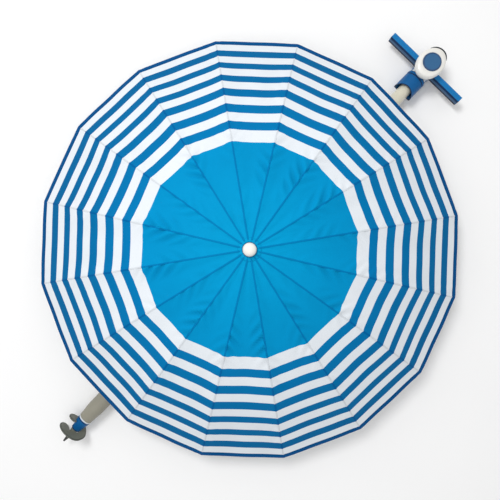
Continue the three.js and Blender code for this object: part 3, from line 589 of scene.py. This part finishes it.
looks = {
    "white": moulded("white_moulding", WHITE_PLASTIC, 0.34, coat=0.25),
    "blue": moulded("blue_moulding", BLUE_PLASTIC, 0.4, coat=0.03, glare=0.25),
    "navy": moulded("navy_moulding", NAVY_PLASTIC, 0.5, glare=0.3),
    "bar": moulded("bar_plastic", srgb(14, 122, 186), 0.42, coat=0.03, glare=0.3),
    "bar_side": moulded("bar_grip", srgb(70, 104, 140), 0.6, glare=0.3),
    "bar_foot": moulded("bar_foot", srgb(22, 28, 46), 0.6),
    "disc": moulded("disc_plastic", srgb(52, 100, 143), 0.55, glare=0.25),
    "disc_rim": moulded("disc_rim", srgb(44, 78, 120), 0.5),
    # Pale grey-white, a painted highlight: it stands for the bright band at the anchor's joint and the glints
    # beside the handle's neck
    "ring": moulded("light_ring", srgb(214, 220, 224), 0.35, coat=0.2),
    "rubber": moulded("black_rubber", srgb(40, 52, 60), 0.75, depth=0.0002),
    "nylon": moulded("nylon", srgb(226, 226, 220), 0.5),
    "sleeve": moulded("sleeve_plastic", srgb(52, 60, 70), 0.5),
    "lever": moulded("lever_plastic", srgb(170, 172, 166), 0.42),
    "auger": moulded("auger_plastic", srgb(118, 120, 107), 0.5, depth=0.0002, wear=0.7),
    "auger_rim": moulded("auger_edge", srgb(78, 82, 74), 0.5, wear=0.8),
    "tip": moulded("auger_tip", srgb(52, 52, 52), 0.45, wear=0.8),
    "cap": moulded("rib_cap", srgb(18, 42, 72), 0.4),
    "ivory": coated_tube("ivory_tube", srgb(221, 216, 196), 0.26, 0.9),
    "putty": coated_tube("putty_tube", srgb(146, 143, 129), 0.5),
    "steel": metal("stem_metal", srgb(196, 199, 202), 0.3),
    "strip": metal("stretcher_metal", srgb(172, 176, 180), 0.42, (200, 200, 200)),
    "fibre": moulded("glass_fibre", srgb(46, 48, 52), 0.42, 900, 0.0001, 0.25),
}


def hub_radius(z):
    """Radius of the hub's side at a height."""
    points = HUB_SIDE + [(HUB_TOP, 0.044)]
    for (z0, r0), (z1, r1) in zip(points, points[1:]):
        if z0 <= z <= z1:
            return r0 + (r1 - r0) * (z - z0) / (z1 - z0)
    return 0.046 if z < HUB_SIDE[0][0] else 0.0


def clear_of_hub(x, y, z):
    """x, kept short of the hub's side."""
    radius = hub_radius(z) + 0.0003
    across = y / HUB_ASPECT
    if abs(across) >= radius:
        return x
    return min(x, HANDLE_X - math.sqrt(radius ** 2 - across ** 2))


def smoothed(node, look, body, slot, width=0.0008, segments=2):
    """A CAD node with welded faces, rounded edges and smooth curved sides."""
    work = bmesh.new()
    work.from_mesh(bpy.data.objects[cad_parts[node].name].data)
    bmesh.ops.remove_doubles(work, verts=work.verts, dist=1e-6)
    bmesh.ops.dissolve_limit(work, angle_limit=math.radians(0.5), verts=work.verts, edges=work.edges)
    mesh = bpy.data.meshes.new(node + "_moulded")
    work.to_mesh(mesh)
    work.free()
    mesh.materials.clear()
    mesh.materials.append(look)
    obj = bpy.data.objects.new(node + "_moulded", mesh)
    bpy.context.scene.collection.objects.link(obj)
    mesh.shade_smooth()
    mesh.set_sharp_from_angle(angle=math.radians(35))
    if width:
        soften(obj, width, segments, 35)
    return attach(obj, body, slot, node)


def curve_through(points, steps):
    """A smooth curve through points, with the given number of steps from each to the next."""
    out = []
    for i in range(len(points) - 1):
        p0 = points[max(i - 1, 0)]
        p1, p2 = points[i], points[i + 1]
        p3 = points[min(i + 2, len(points) - 1)]
        for k in range(steps):
            t = k / steps
            out.append(tuple(
                0.5 * (2 * b + (c - a) * t + (2 * a - 5 * b + 4 * c - d) * t * t
                       + (3 * b - a - 3 * c + d) * t ** 3)
                for a, b, c, d in zip(p0, p1, p2, p3)
            ))
    out.append(tuple(points[-1]))
    return out


def ring_grid(name, rows, look, segments=128, shape=None):
    """A ring about the mast from (x, radius) points that close on themselves; shape moves each vertex."""
    verts, faces = [], []
    for x, r in rows:
        for i in range(segments):
            a = 2 * math.pi * i / segments
            p = (x, r * math.cos(a), MAST_Z + r * math.sin(a))
            verts.append(shape(p, x) if shape else p)
    count = len(rows)
    for k in range(count):
        low, high = k * segments, ((k + 1) % count) * segments
        for i in range(segments):
            j = (i + 1) % segments
            faces.append((low + i, low + j, high + j, high + i))
    obj = make(name, verts, faces, look)
    outward(obj)
    return obj


def build_finial():
    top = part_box("finial")[1].z
    foot = top - 0.022
    wide = (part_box("finial")[1].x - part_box("finial")[0].x) / 2
    stud = [(foot - 0.004, 0), (foot - 0.004, 0.005), (foot, 0.0055)]
    side = [(foot, wide - 0.0008), (foot + 0.0008, wide), (foot + 0.0075, wide)]
    crown = [
        (foot + 0.0075 + 0.0145 * math.sin(a), wide * math.cos(a) ** 0.72)
        for a in np.linspace(0.06, 1.5, 22)
    ]
    cap = turned("finial_cap", stud + side + crown + [(top, 0)], looks["white"], "Z")
    attach(cap, "crown", "finial", "finial")
    # A navy ring that shows just outside the cap's foot, as a dark outline round the finial
    outline = [
        (foot - 0.0022, wide - 0.003), (foot - 0.0022, wide + 0.0016), (foot + 0.0004, wide + 0.0013),
        (foot + 0.0008, wide - 0.001), (foot + 0.0004, wide - 0.003),
    ]
    dark_ring = turned("finial_dark_ring", outline, looks["navy"], "Z", closed=True)
    attach(dark_ring, "crown", "canopy_cloth")


def build_tubes():
    end = SOCKET_END - 0.0045
    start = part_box("upper_tube")[0].x
    inside = TUBE_RADIUS - TUBE_WALL
    rows = [(start, inside), (start, TUBE_RADIUS - 0.0004), (start + 0.0006, TUBE_RADIUS)]
    rows += [(0.6, TUBE_RADIUS), (end, TUBE_RADIUS), (end, inside)]
    upper = ring_grid("upper_tube_skin", rows, looks["ivory"])
    attach(soften(upper, 0.0003, 2), "upper_mast", "ivory_tube", "upper_tube")

    first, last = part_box("lower_tube")[0].x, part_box("lower_tube")[1].x
    wide = 0.030
    rows = [(first, 0.0233), (first, 0.0253), (first + 0.0006, PLUG_ROOT)]
    rows += [
        (first + TAPER * t, PLUG_ROOT + (wide - PLUG_ROOT) * t * t * (3 - 2 * t))
        for t in np.linspace(0.12, 1, 9)
    ]
    rows += [(last - 0.0006, wide), (last, wide - 0.0004), (last, LOWER_BORE), (first + TAPER, LOWER_BORE)]
    lower = ring_grid("lower_tube_skin", rows, looks["putty"])
    attach(lower, "lower_mast", "putty_tube", "lower_tube")


def mouth(y):
    """Start of the handle's socket at a distance beside the mast: an arch seen from above."""
    radius = (SOCKET_RADIUS ** 2 + ARCH ** 2) / (2 * ARCH)
    across = min(abs(y), SOCKET_RADIUS)
    return SOCKET_END - SOCKET_LENGTH + ARCH - radius + math.sqrt(radius ** 2 - across ** 2)


def beside_hub(point, _x):
    return clear_of_hub(*point), point[1], point[2]


def build_socket():
    start = SOCKET_END - SOCKET_LENGTH
    straight = start + 0.02  # where the arch's effect ends
    outer, inner = SOCKET_RADIUS, SOCKET_RADIUS - SOCKET_WALL
    bore = TUBE_RADIUS + 0.0003
    groove = SOCKET_END - 0.016
    floor = outer - 0.0022

    def arched(point, x):
        px, y, z = point
        if x <= straight:
            px = mouth(y) + (x - start)
        return clear_of_hub(px, y, z), y, z

    def along_mouth(point, x):
        return mouth(point[1]) + (x - start), point[1], point[2]

    rows = [(start, inner + 0.0006), (start + 0.0001, outer - 0.0006), (start + 0.0008, outer)]
    rows += [(straight, outer), (groove - 0.0005, outer), (groove + 0.0018, floor)]
    rows += [(groove + 0.0052, floor), (groove + 0.0072, outer), (SOCKET_END - 0.004, outer)]
    rows += [(SOCKET_END - 0.001, outer - 0.0018), (SOCKET_END, inner), (SOCKET_END, bore)]
    rows += [(groove - 0.002, bore), (groove - 0.002, inner), (straight, inner), (start + 0.0006, inner)]
    socket = ring_grid("handle_socket_moulded", rows, looks["blue"], shape=arched)
    socket.data.set_sharp_from_angle(angle=math.radians(40))
    attach(socket, "upper_mast", "blue_moulding", "handle_socket")

    # A navy lip along the arched mouth: painted shade darkening the mouth's edge
    rows = [(start - 0.0005, inner + 0.0012), (start - 0.0005, outer + 0.0002), (start, outer + 0.0006)]
    rows += [(start + 0.0022, outer + 0.0006), (start + 0.0028, outer - 0.0004)]
    rows += [(start + 0.0028, inner + 0.0012)]
    shaded_lip = ring_grid("socket_lip_shade", rows, looks["navy"], shape=along_mouth)
    attach(shaded_lip, "upper_mast", "blue_moulding")

    # Navy bands sunk in the groove and round the socket's end by the neck: painted shade in the groove and
    # where the socket meets the neck
    shade_bands = (
        (groove + 0.0008, groove + 0.0058, outer - 0.0012),
        (SOCKET_END - 0.0042, SOCKET_END - 0.0012, outer - 0.0005),
    )
    for i, (a, b, r) in enumerate(shade_bands):
        rows = [(a, r - 0.003), (a, r - 0.0004), (a + 0.0005, r)]
        rows += [(b - 0.0005, r), (b, r - 0.0004), (b, r - 0.003)]
        band = ring_grid("socket_band_%d" % (i + 1), rows, looks["navy"], shape=beside_hub)
        attach(band, "upper_mast", "blue_moulding")

    # The pale neck ring paints the glints seen beside the hub: painted highlight
    neck_start, neck_end, wide = SOCKET_END + 0.0003, HANDLE_X - 0.023, 0.0315
    rows = [(neck_start, 0.020), (neck_start, wide - 0.0008), (neck_start + 0.0007, wide)]
    rows += [(neck_end, wide), (neck_end, 0.020)]
    neck = ring_grid("handle_neck_ring", rows, looks["ring"], shape=beside_hub)
    attach(neck, "upper_mast", "ring_plastic", "handle_neck")


def bar_outlines():
    """(name, outline, look, how much shorter than the bar) of the T bar's four layers, from the top."""
    side = BAR_SIDE
    low, high = MAST_Z - BAR_RISE, MAST_Z + BAR_RISE
    left, right = -side + 0.0052, side - 0.0012
    ribs = 5
    step = (right - left - 0.001) / ribs
    cap = [(left, high - 0.004), (left, high - 0.0012)]
    for i in range(ribs):
        a = left + 0.0005 + i * step
        cap += [(a + step * 0.1, high - 0.0009), (a + step * 0.3, high)]
        cap += [(a + step * 0.7, high), (a + step * 0.9, high - 0.0009)]
    cap += [(right, high - 0.0012), (right, high - 0.004)]
    # This layer's navy band between the cap and the grip is painted shade: the shadow line under the cap's
    # edge
    shadow_band = [
        (-side + 0.002, high - 0.0105), (-side + 0.002, high - 0.0072), (-side, high - 0.0058),
        (-side, high - 0.0042), (-side + 0.0012, high - 0.0024), (side - 0.0006, high - 0.0024),
        (side, high - 0.0036), (side, high - 0.0058), (side - 0.002, high - 0.0072),
        (side - 0.002, high - 0.0105),
    ]
    grip = [
        (-side + 0.0006, low + 0.008), (-side, low + 0.009), (-side, high - 0.0108),
        (-side + 0.0012, high - 0.0098), (side - 0.0012, high - 0.0098), (side, high - 0.0108),
        (side, low + 0.009), (side - 0.0006, low + 0.008),
    ]
    foot = [
        (-side + 0.0012, low), (-side - 0.0006, low + 0.0014), (-side - 0.0006, low + 0.0074),
        (-side + 0.001, low + 0.0084), (side - 0.001, low + 0.0084), (side + 0.0006, low + 0.0074),
        (side + 0.0006, low + 0.0014), (side - 0.0012, low),
    ]
    return (
        ("bar_cap", cap, "bar", 0),
        ("bar_shadow_band", shadow_band, "navy", 0.0003),
        ("bar_side", grip, "bar_side", 0),
        ("bar_foot", foot, "bar_foot", 0.0004),
    )


def build_bar():
    place = (HANDLE_X, 0, 0)
    for name, outline, look, short in bar_outlines():
        layer = prism(name, outline, short - BAR_HALF, BAR_HALF - short, looks[look], place)
        layer.data.set_sharp_from_angle(angle=math.radians(30))
        soften(layer, 0.0005, 2, 60)
        attach(layer, "upper_mast", "bar_plastic", *(["handle_bar"] if name == "bar_cap" else []))
    low, high = MAST_Z - BAR_RISE + 0.001, MAST_Z + BAR_RISE - 0.0012
    wide = BAR_SIDE - 0.001
    outline = [(-wide, low), (-wide, high), (wide, high), (wide, low)]
    for i, way in enumerate((-1, 1)):
        faces = sorted((way * (BAR_HALF - 0.004), way * (BAR_HALF + 0.0002)))
        end = prism("bar_end_%d" % (i + 1), outline, *faces, looks["navy"], place)
        attach(soften(end, 0.0006, 2), "upper_mast", "bar_plastic")


def build_hub():
    centre = (HANDLE_X, 0)
    shoulder = 0.044
    side = curve_through(HUB_SIDE[1:] + [(0.1195, 0.0505), (HUB_TOP, shoulder)], 7)
    floor = BUTTON_TOP - 0.009 - 0.005
    profile = [(0.036, 0), (0.036, 0.0455), (0.0365, 0.046)] + side
    profile += [(HUB_TOP, RECESS + 0.0095), (HUB_TOP - 0.0006, RECESS), (HUB_TOP - 0.002, RECESS)]
    profile += [(floor, RECESS), (floor, 0)]
    dome = turned("hub_dome_moulded", profile, looks["white"], "Z", centre, 128)
    for vertex in dome.data.vertices:
        # The outside is oval, the button's recess is round
        reach = math.hypot(vertex.co.x - HANDLE_X, vertex.co.y)
        if reach > RECESS + 0.0004 or vertex.co.z < 0.1:
            vertex.co.y *= HUB_ASPECT
    dome.data.set_sharp_from_angle(angle=math.radians(50))
    attach(dome, "upper_mast", "white_moulding", "hub_dome")

    profile = [(0, 0), (0, 0.0405), (0.0012, 0.0432), (0.004, 0.0457), (0.006, 0.046)]
    profile += [(0.0352, 0.046), (0.0357, 0.0455), (0.0357, 0)]
    base = turned("hub_base_moulded", profile, looks["blue"], "Z", centre, 128)
    for vertex in base.data.vertices:
        vertex.co.y *= HUB_ASPECT
    base.data.set_sharp_from_angle(angle=math.radians(50))
    attach(base, "upper_mast", "blue_moulding", "hub_base")


def build_button():
    centre, top = (HANDLE_X, 0), BUTTON_TOP
    profile = [(top - 0.009, 0), (top - 0.009, 0.0325), (top - 0.0012, 0.0325), (top - 0.0003, 0.0319)]
    profile += [(top, 0.0308), (top - 0.0001, 0.0296), (top - 0.0012, 0.0288), (top - 0.0012, 0)]
    button = turned("hub_button_moulded", profile, looks["disc"], "Z", centre, 128)
    button.data.set_sharp_from_angle(angle=math.radians(50))
    attach(button, "button", "button_plastic", "hub_button")
    profile = [(top - 0.0006, 0.0285), (top - 0.0002, 0.0290), (top + 0.0004, 0.0302), (top + 0.0003, 0.0314)]
    profile += [(top - 0.0006, 0.0327), (top - 0.0020, 0.0328), (top - 0.0020, 0.0285)]
    rim = turned("hub_button_rim", profile, looks["disc_rim"], "Z", centre, 128, True)
    attach(rim, "button", "button_plastic")


def build_bumper():
    """The soft strip round the end of the hub, thinner towards its two ends."""
    verts, faces = [], []
    steps, around = 48, 14
    for i in range(steps + 1):
        t = i / steps
        a = math.radians(-42.5 + 94 * t)
        thin = max(0.12, min(1.0, math.sin(math.pi * t) ** 0.5 * 1.15))
        half_width = 0.00175 * thin
        middle, half_z = 0.0623 + half_width, 0.008 * (0.45 + 0.55 * thin)
        for k in range(around):
            b = 2 * math.pi * k / around
            c, d = math.cos(b), math.sin(b)
            r = middle + half_width * math.copysign(abs(c) ** 0.6, c)
            z = 0.104 + half_z * math.copysign(abs(d) ** 0.6, d)
            verts.append((HANDLE_X + r * math.cos(a), r * math.sin(a) * HUB_ASPECT, z))
    for i in range(steps):
        for k in range(around):
            j = (k + 1) % around
            faces.append((i * around + k, i * around + j, (i + 1) * around + j, (i + 1) * around + k))
    faces += [tuple(range(around)), tuple(range(steps * around + around - 1, steps * around - 1, -1))]
    bumper = make("hub_bumper_strip", verts, faces, looks["rubber"])
    outward(bumper)
    attach(bumper, "upper_mast", "black_rubber", "hub_bumper")


def flight_outline():
    """(turn in degrees from +Y down under the mast, radius in millimetres) along the flight's edge."""
    points = [
        (-48, 36), (-24, 47), (0, 51), (60, 51), (100, 51), (125, 46), (150, 44), (180, 46), (210, 49),
        (240, 57), (270, 59), (300, 58), (330, 56), (360, 53), (385, 48), (405, 36),
    ]
    return curve_through(points, 12)


def plug_span():
    """(end at the tube, end at the auger) of the anchor plug."""
    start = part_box("lower_tube")[0].x
    return start - 0.0056, start - 0.0546


def plug_radius(x):
    root, tip = plug_span()
    return PLUG_TIP + (PLUG_ROOT - PLUG_TIP) / (root - tip) * (x - tip)


def build_anchor():
    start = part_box("lower_tube")[0].x
    # The pale ring between the tube and the plug is a painted highlight at the joint
    rows = [(start - 0.0052, 0.0178), (start - 0.0052, 0.0250), (start - 0.0044, 0.0258)]
    rows += [(start - 0.0012, 0.0258), (start - 0.0004, 0.0250), (start - 0.0004, 0.0178)]
    ring = ring_grid("anchor_ring_moulded", rows, looks["ring"])
    attach(ring, "lower_mast", "ring_plastic", "anchor_ring")

    root, tip = plug_span()
    rows = [(tip, 0.0095), (tip, PLUG_TIP - 0.0008), (tip + 0.0008, PLUG_TIP)]
    rows += [(tip + 0.046, plug_radius(tip + 0.046)), (root - 0.0006, PLUG_ROOT)]
    rows += [(root, PLUG_ROOT - 0.0006), (root, 0.0095)]
    plug = ring_grid("anchor_plug_moulded", rows, looks["blue"])
    plug.data.set_sharp_from_angle(angle=math.radians(40))
    attach(plug, "lower_mast", "blue_moulding", "anchor_plug")
    for i, at in enumerate((tip + 0.0022, root - 0.0030)):
        r = plug_radius(at) + 0.0004
        rows = [(at - 0.0018, r - 0.002), (at - 0.0018, r - 0.0006), (at - 0.001, r)]
        rows += [(at + 0.001, r), (at + 0.0018, r - 0.0002), (at + 0.0018, r - 0.002)]
        band = ring_grid("plug_band_%d" % (i + 1), rows, looks["navy"])
        attach(band, "lower_mast", "blue_moulding")

    core = tip - 0.0003
    end = core - 0.042
    point = 0.022
    profile = [(core, 0), (core, 0.0134), (core - 0.0006, 0.014), (core - 0.012, 0.0125)]
    profile += [(end + 0.0004, 0.0072), (end, 0.0068), (end - 0.0006, 0.0058)]
    profile += [(end - point * t, 0.0060 - 0.0035 * t) for t in (0.3, 0.6, 0.85)] + [(end - 0.0216, 0)]
    shaft = turned("auger_core", profile, looks["auger"], "X", (0, MAST_Z), 64)
    shaft.data.set_sharp_from_angle(angle=math.radians(40))
    attach(shaft, "lower_mast", "auger_plastic", "auger")
    profile = [(end + 0.0006, 0), (end + 0.0006, 0.0070), (end - 0.0006, 0.0067)]
    profile += [(end - point * t, 0.0065 - 0.0035 * t) for t in (0.3, 0.6, 0.85)]
    profile += [(end - 0.0212, 0.0026), (end - point, 0)]
    nib = turned("auger_point", profile, looks["tip"], "X", (0, MAST_Z), 48)
    attach(nib, "lower_mast", "auger_plastic")
    build_flight(core)


def build_flight(core):
    """The auger's blade, clear of the plug where it passes beside it, and the bead along its edge."""
    verts, faces, rim = [], [], []
    outline = flight_outline()
    half = FLIGHT_THICKNESS / 2
    spread = (0.0, 0.35, 0.7, 0.92)
    for turn, outer in outline:
        a = -math.radians(turn)
        x = FLIGHT_START - FLIGHT_PITCH * turn / 360
        outer = outer / 1000
        if x + FLIGHT_THICKNESS > core:
            inner = max(plug_radius(x + half), PLUG_TIP) + 0.0006
        else:
            inner = 0.0047
        outer = max(outer, inner + 0.004)
        section = [(inner + (outer - inner) * t, 1.0) for t in spread]
        section += [(outer - 0.0006, 0.72), (outer, 0.0), (outer - 0.0006, -0.72)]
        section += [(inner + (outer - inner) * t, -1.0) for t in reversed(spread)]
        for r, side in section:
            verts.append((x + side * half, r * math.cos(a), MAST_Z + r * math.sin(a)))
        edge = outer - 0.0026
        rim.append(Vector((x, edge * math.cos(a), MAST_Z + edge * math.sin(a))))
    size = len(spread) * 2 + 3
    for i in range(len(outline) - 1):
        for k in range(size):
            j = (k + 1) % size
            faces.append((i * size + k, i * size + j, (i + 1) * size + j, (i + 1) * size + k))
    last = (len(outline) - 1) * size
    faces += [tuple(range(size)), tuple(range(last + size - 1, last - 1, -1))]
    blade = make("auger_flight", verts, faces, looks["auger"])
    outward(blade)
    blade.data.set_sharp_from_angle(angle=math.radians(45))
    attach(blade, "lower_mast", "auger_plastic")
    attach(sweep("auger_bead", rim, 0.0031, looks["auger_rim"]), "lower_mast", "auger_plastic")


def sweep(name, path, radius, look, around=10, closed=False):
    """A round bar along a path."""
    verts, faces = [], []
    count = len(path)
    for i, p in enumerate(path):
        before = path[i - 1] if closed or i else path[0]
        after = path[(i + 1) % count] if closed or i < count - 1 else path[-1]
        along = (after - before).normalized()
        side = along.cross(Vector((1, 0, 0)))
        if side.length < 0.1:
            side = along.cross(Vector((0, 0, 1)))
        side.normalize()
        up = side.cross(along)
        for k in range(around):
            a = 2 * math.pi * k / around
            verts.append(p + (side * math.cos(a) + up * math.sin(a)) * radius)
    for i in range(count if closed else count - 1):
        n = (i + 1) % count
        for k in range(around):
            j = (k + 1) % around
            faces.append((i * around + k, i * around + j, n * around + j, n * around + k))
    if not closed:
        faces += [tuple(range(around)), tuple(range(count * around - 1, (count - 1) * around - 1, -1))]
    obj = make(name, verts, faces, look)
    outward(obj)
    return obj


def rod(name, start, end, radius, look, around=24):
    """A straight round bar with softened ends."""
    return soften(sweep(name, [Vector(start), Vector(end)], radius, look, around), radius * 0.25, 2, 40)


def build_frame():
    """Ribs, stretchers, crown, runner, stem and their pins."""
    for k in range(RIBS):
        number = "%02d" % (k + 1)
        smoothed("rib_" + number, looks["fibre"], "rib_" + number, "glass_fibre", 0.0007)
        smoothed("stretcher_" + number, looks["strip"], "stretcher_" + number, "stretcher_metal", 0.0005)
        angle = FIRST_RIB + k * RIB_STEP
        out = Vector((math.cos(angle), math.sin(angle), 0))
        side = Vector((-math.sin(angle), math.cos(angle), 0))
        lug = out * LUG[0] + Vector((0, 0, LUG[1]))
        pin = rod("lug_pin_" + number, lug - side * 0.0034, lug + side * 0.0076, 0.0017, looks["steel"], 16)
        attach(pin, "rib_" + number, "stretcher_metal")
        tip = out * TIP[0] + Vector((0, 0, TIP[1]))
        down = (out * math.cos(SKIRT_SLOPE) - Vector((0, 0, math.sin(SKIRT_SLOPE)))).normalized()
        path = [tip - down * 0.016, tip - down * 0.002]
        sock = sweep("rib_cap_" + number, path, 0.0040, looks["cap"], 16)
        attach(soften(sock, 0.001, 3, 40), "rib_" + number, "glass_fibre")
    smoothed("crown", looks["nylon"], "crown", "frame_nylon")
    smoothed("runner", looks["nylon"], "head", "frame_nylon")
    smoothed("tube_bushing", looks["nylon"], "lower_mast", "frame_nylon", 0.0004)
    smoothed("stem_outer", looks["steel"], "head", "stem_metal", 0.0003)
    smoothed("stem_middle", looks["steel"], "stem_middle", "stem_metal", 0.0003)
    smoothed("stem_inner", looks["steel"], "crown", "stem_metal", 0.0003)
    turn = np.linspace(0, 2 * math.pi, 64, endpoint=False)
    wires = (("crown_wire", "crown", CROWN_WIRE), ("runner_wire", "head", RUNNER_WIRE))
    for name, body, (radius, z) in wires:
        path = [Vector((radius * math.cos(a), radius * math.sin(a), z)) for a in turn]
        attach(sweep(name, path, 0.0009, looks["steel"], 8, True), body, "stem_metal")


def build_mast_fittings():
    smoothed("swivel_head", looks["blue"], "head", "blue_moulding", 0.0012, 3)
    smoothed("stem_screw", looks["rubber"], "head", "black_rubber", 0.0006)
    smoothed("clamp_sleeve", looks["sleeve"], "sleeve", "sleeve_plastic", 0.0008)
    smoothed("retainer_ring", looks["steel"], "sleeve", "stem_metal", 0.0005)
    smoothed("clamp_knob", looks["blue"], "knob", "blue_moulding", 0.0012, 3)
    smoothed("lock_collar", looks["blue"], "lower_mast", "blue_moulding", 0.001, 3)
    smoothed("lock_lever", looks["lever"], "lever", "lever_plastic", 0.001, 3)
    pivot = Vector((-0.276, -0.048, MAST_Z))
    reach = Vector((0, 0, 0.0178))
    pin = rod("lever_pin", pivot - reach, pivot + reach, 0.0025, looks["steel"])
    attach(pin, "lower_mast", "stem_metal")
    knob = Vector((-0.0685, -0.0722, MAST_Z))
    cap = rod("knob_cap", knob, knob - Vector((0, 0.0012, 0)), 0.0075, looks["navy"], 32)
    attach(cap, "knob", "blue_moulding")
    spring = bpy.data.objects[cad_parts["button_spring"].name]
    spring.data.materials.clear()
    spring.data.materials.append(looks["steel"])


build_finial()
build_tubes()
build_socket()
build_bar()
build_hub()
build_button()
build_bumper()
build_anchor()
build_frame()
build_mast_fittings()


# ---- Floor, light and camera ---------------------------------------------------------------------
CAMERA_HEIGHT = 1.855
MAST_TURN = math.radians(45.8)  # of the mast from the picture's horizontal


def build_stage():
    n = Nodes("studio_floor")
    grain = n.noise(n.place(), 3, 2)
    n.link(n.mix(grain, (0.97, 0.97, 0.97, 1), (0.99, 0.99, 0.99, 1)), n.shader.inputs["Base Color"])
    n.shader.inputs["Roughness"].default_value = 0.9
    n.shader.inputs["Specular IOR Level"].default_value = 0.1
    size = 9.0
    corners = [(-size, -size, 0), (size, -size, 0), (size, size, 0), (-size, size, 0)]
    floor = make("floor", corners, [(0, 1, 2, 3)], n.material)

    world = bpy.data.worlds.new("studio")
    world.use_nodes = True
    world.node_tree.nodes["Background"].inputs["Color"].default_value = (1, 1, 1, 1)
    world.node_tree.nodes["Background"].inputs["Strength"].default_value = 0.58
    bpy.context.scene.world = world

    def area(name, place, size, power):
        light = bpy.data.lights.new(name, "AREA")
        light.shape = "DISK"
        light.size = size
        light.energy = power
        obj = bpy.data.objects.new(name, light)
        obj.location = place
        obj.rotation_euler = (-Vector(place)).to_track_quat("-Z", "Y").to_euler()
        bpy.context.scene.collection.objects.link(obj)

    area("key", (0.35, 1.7, 3.5), 1.3, 62)
    area("fill", (-0.9, -0.3, 4.2), 3.0, 26)


def build_camera():
    lens = bpy.data.cameras.new("camera")
    lens.lens = 35
    lens.sensor_width = 36
    lens.clip_end = 50
    camera = bpy.data.objects.new("camera", lens)
    lens.shift_x, lens.shift_y = 0.0008, -0.0008
    camera.location = (0, 0, CAMERA_HEIGHT)
    camera.rotation_euler = (0, 0, -MAST_TURN)
    bpy.context.scene.collection.objects.link(camera)
    bpy.context.scene.camera = camera


build_stage()
build_camera()
bpy.context.scene.view_settings.view_transform = "Standard"
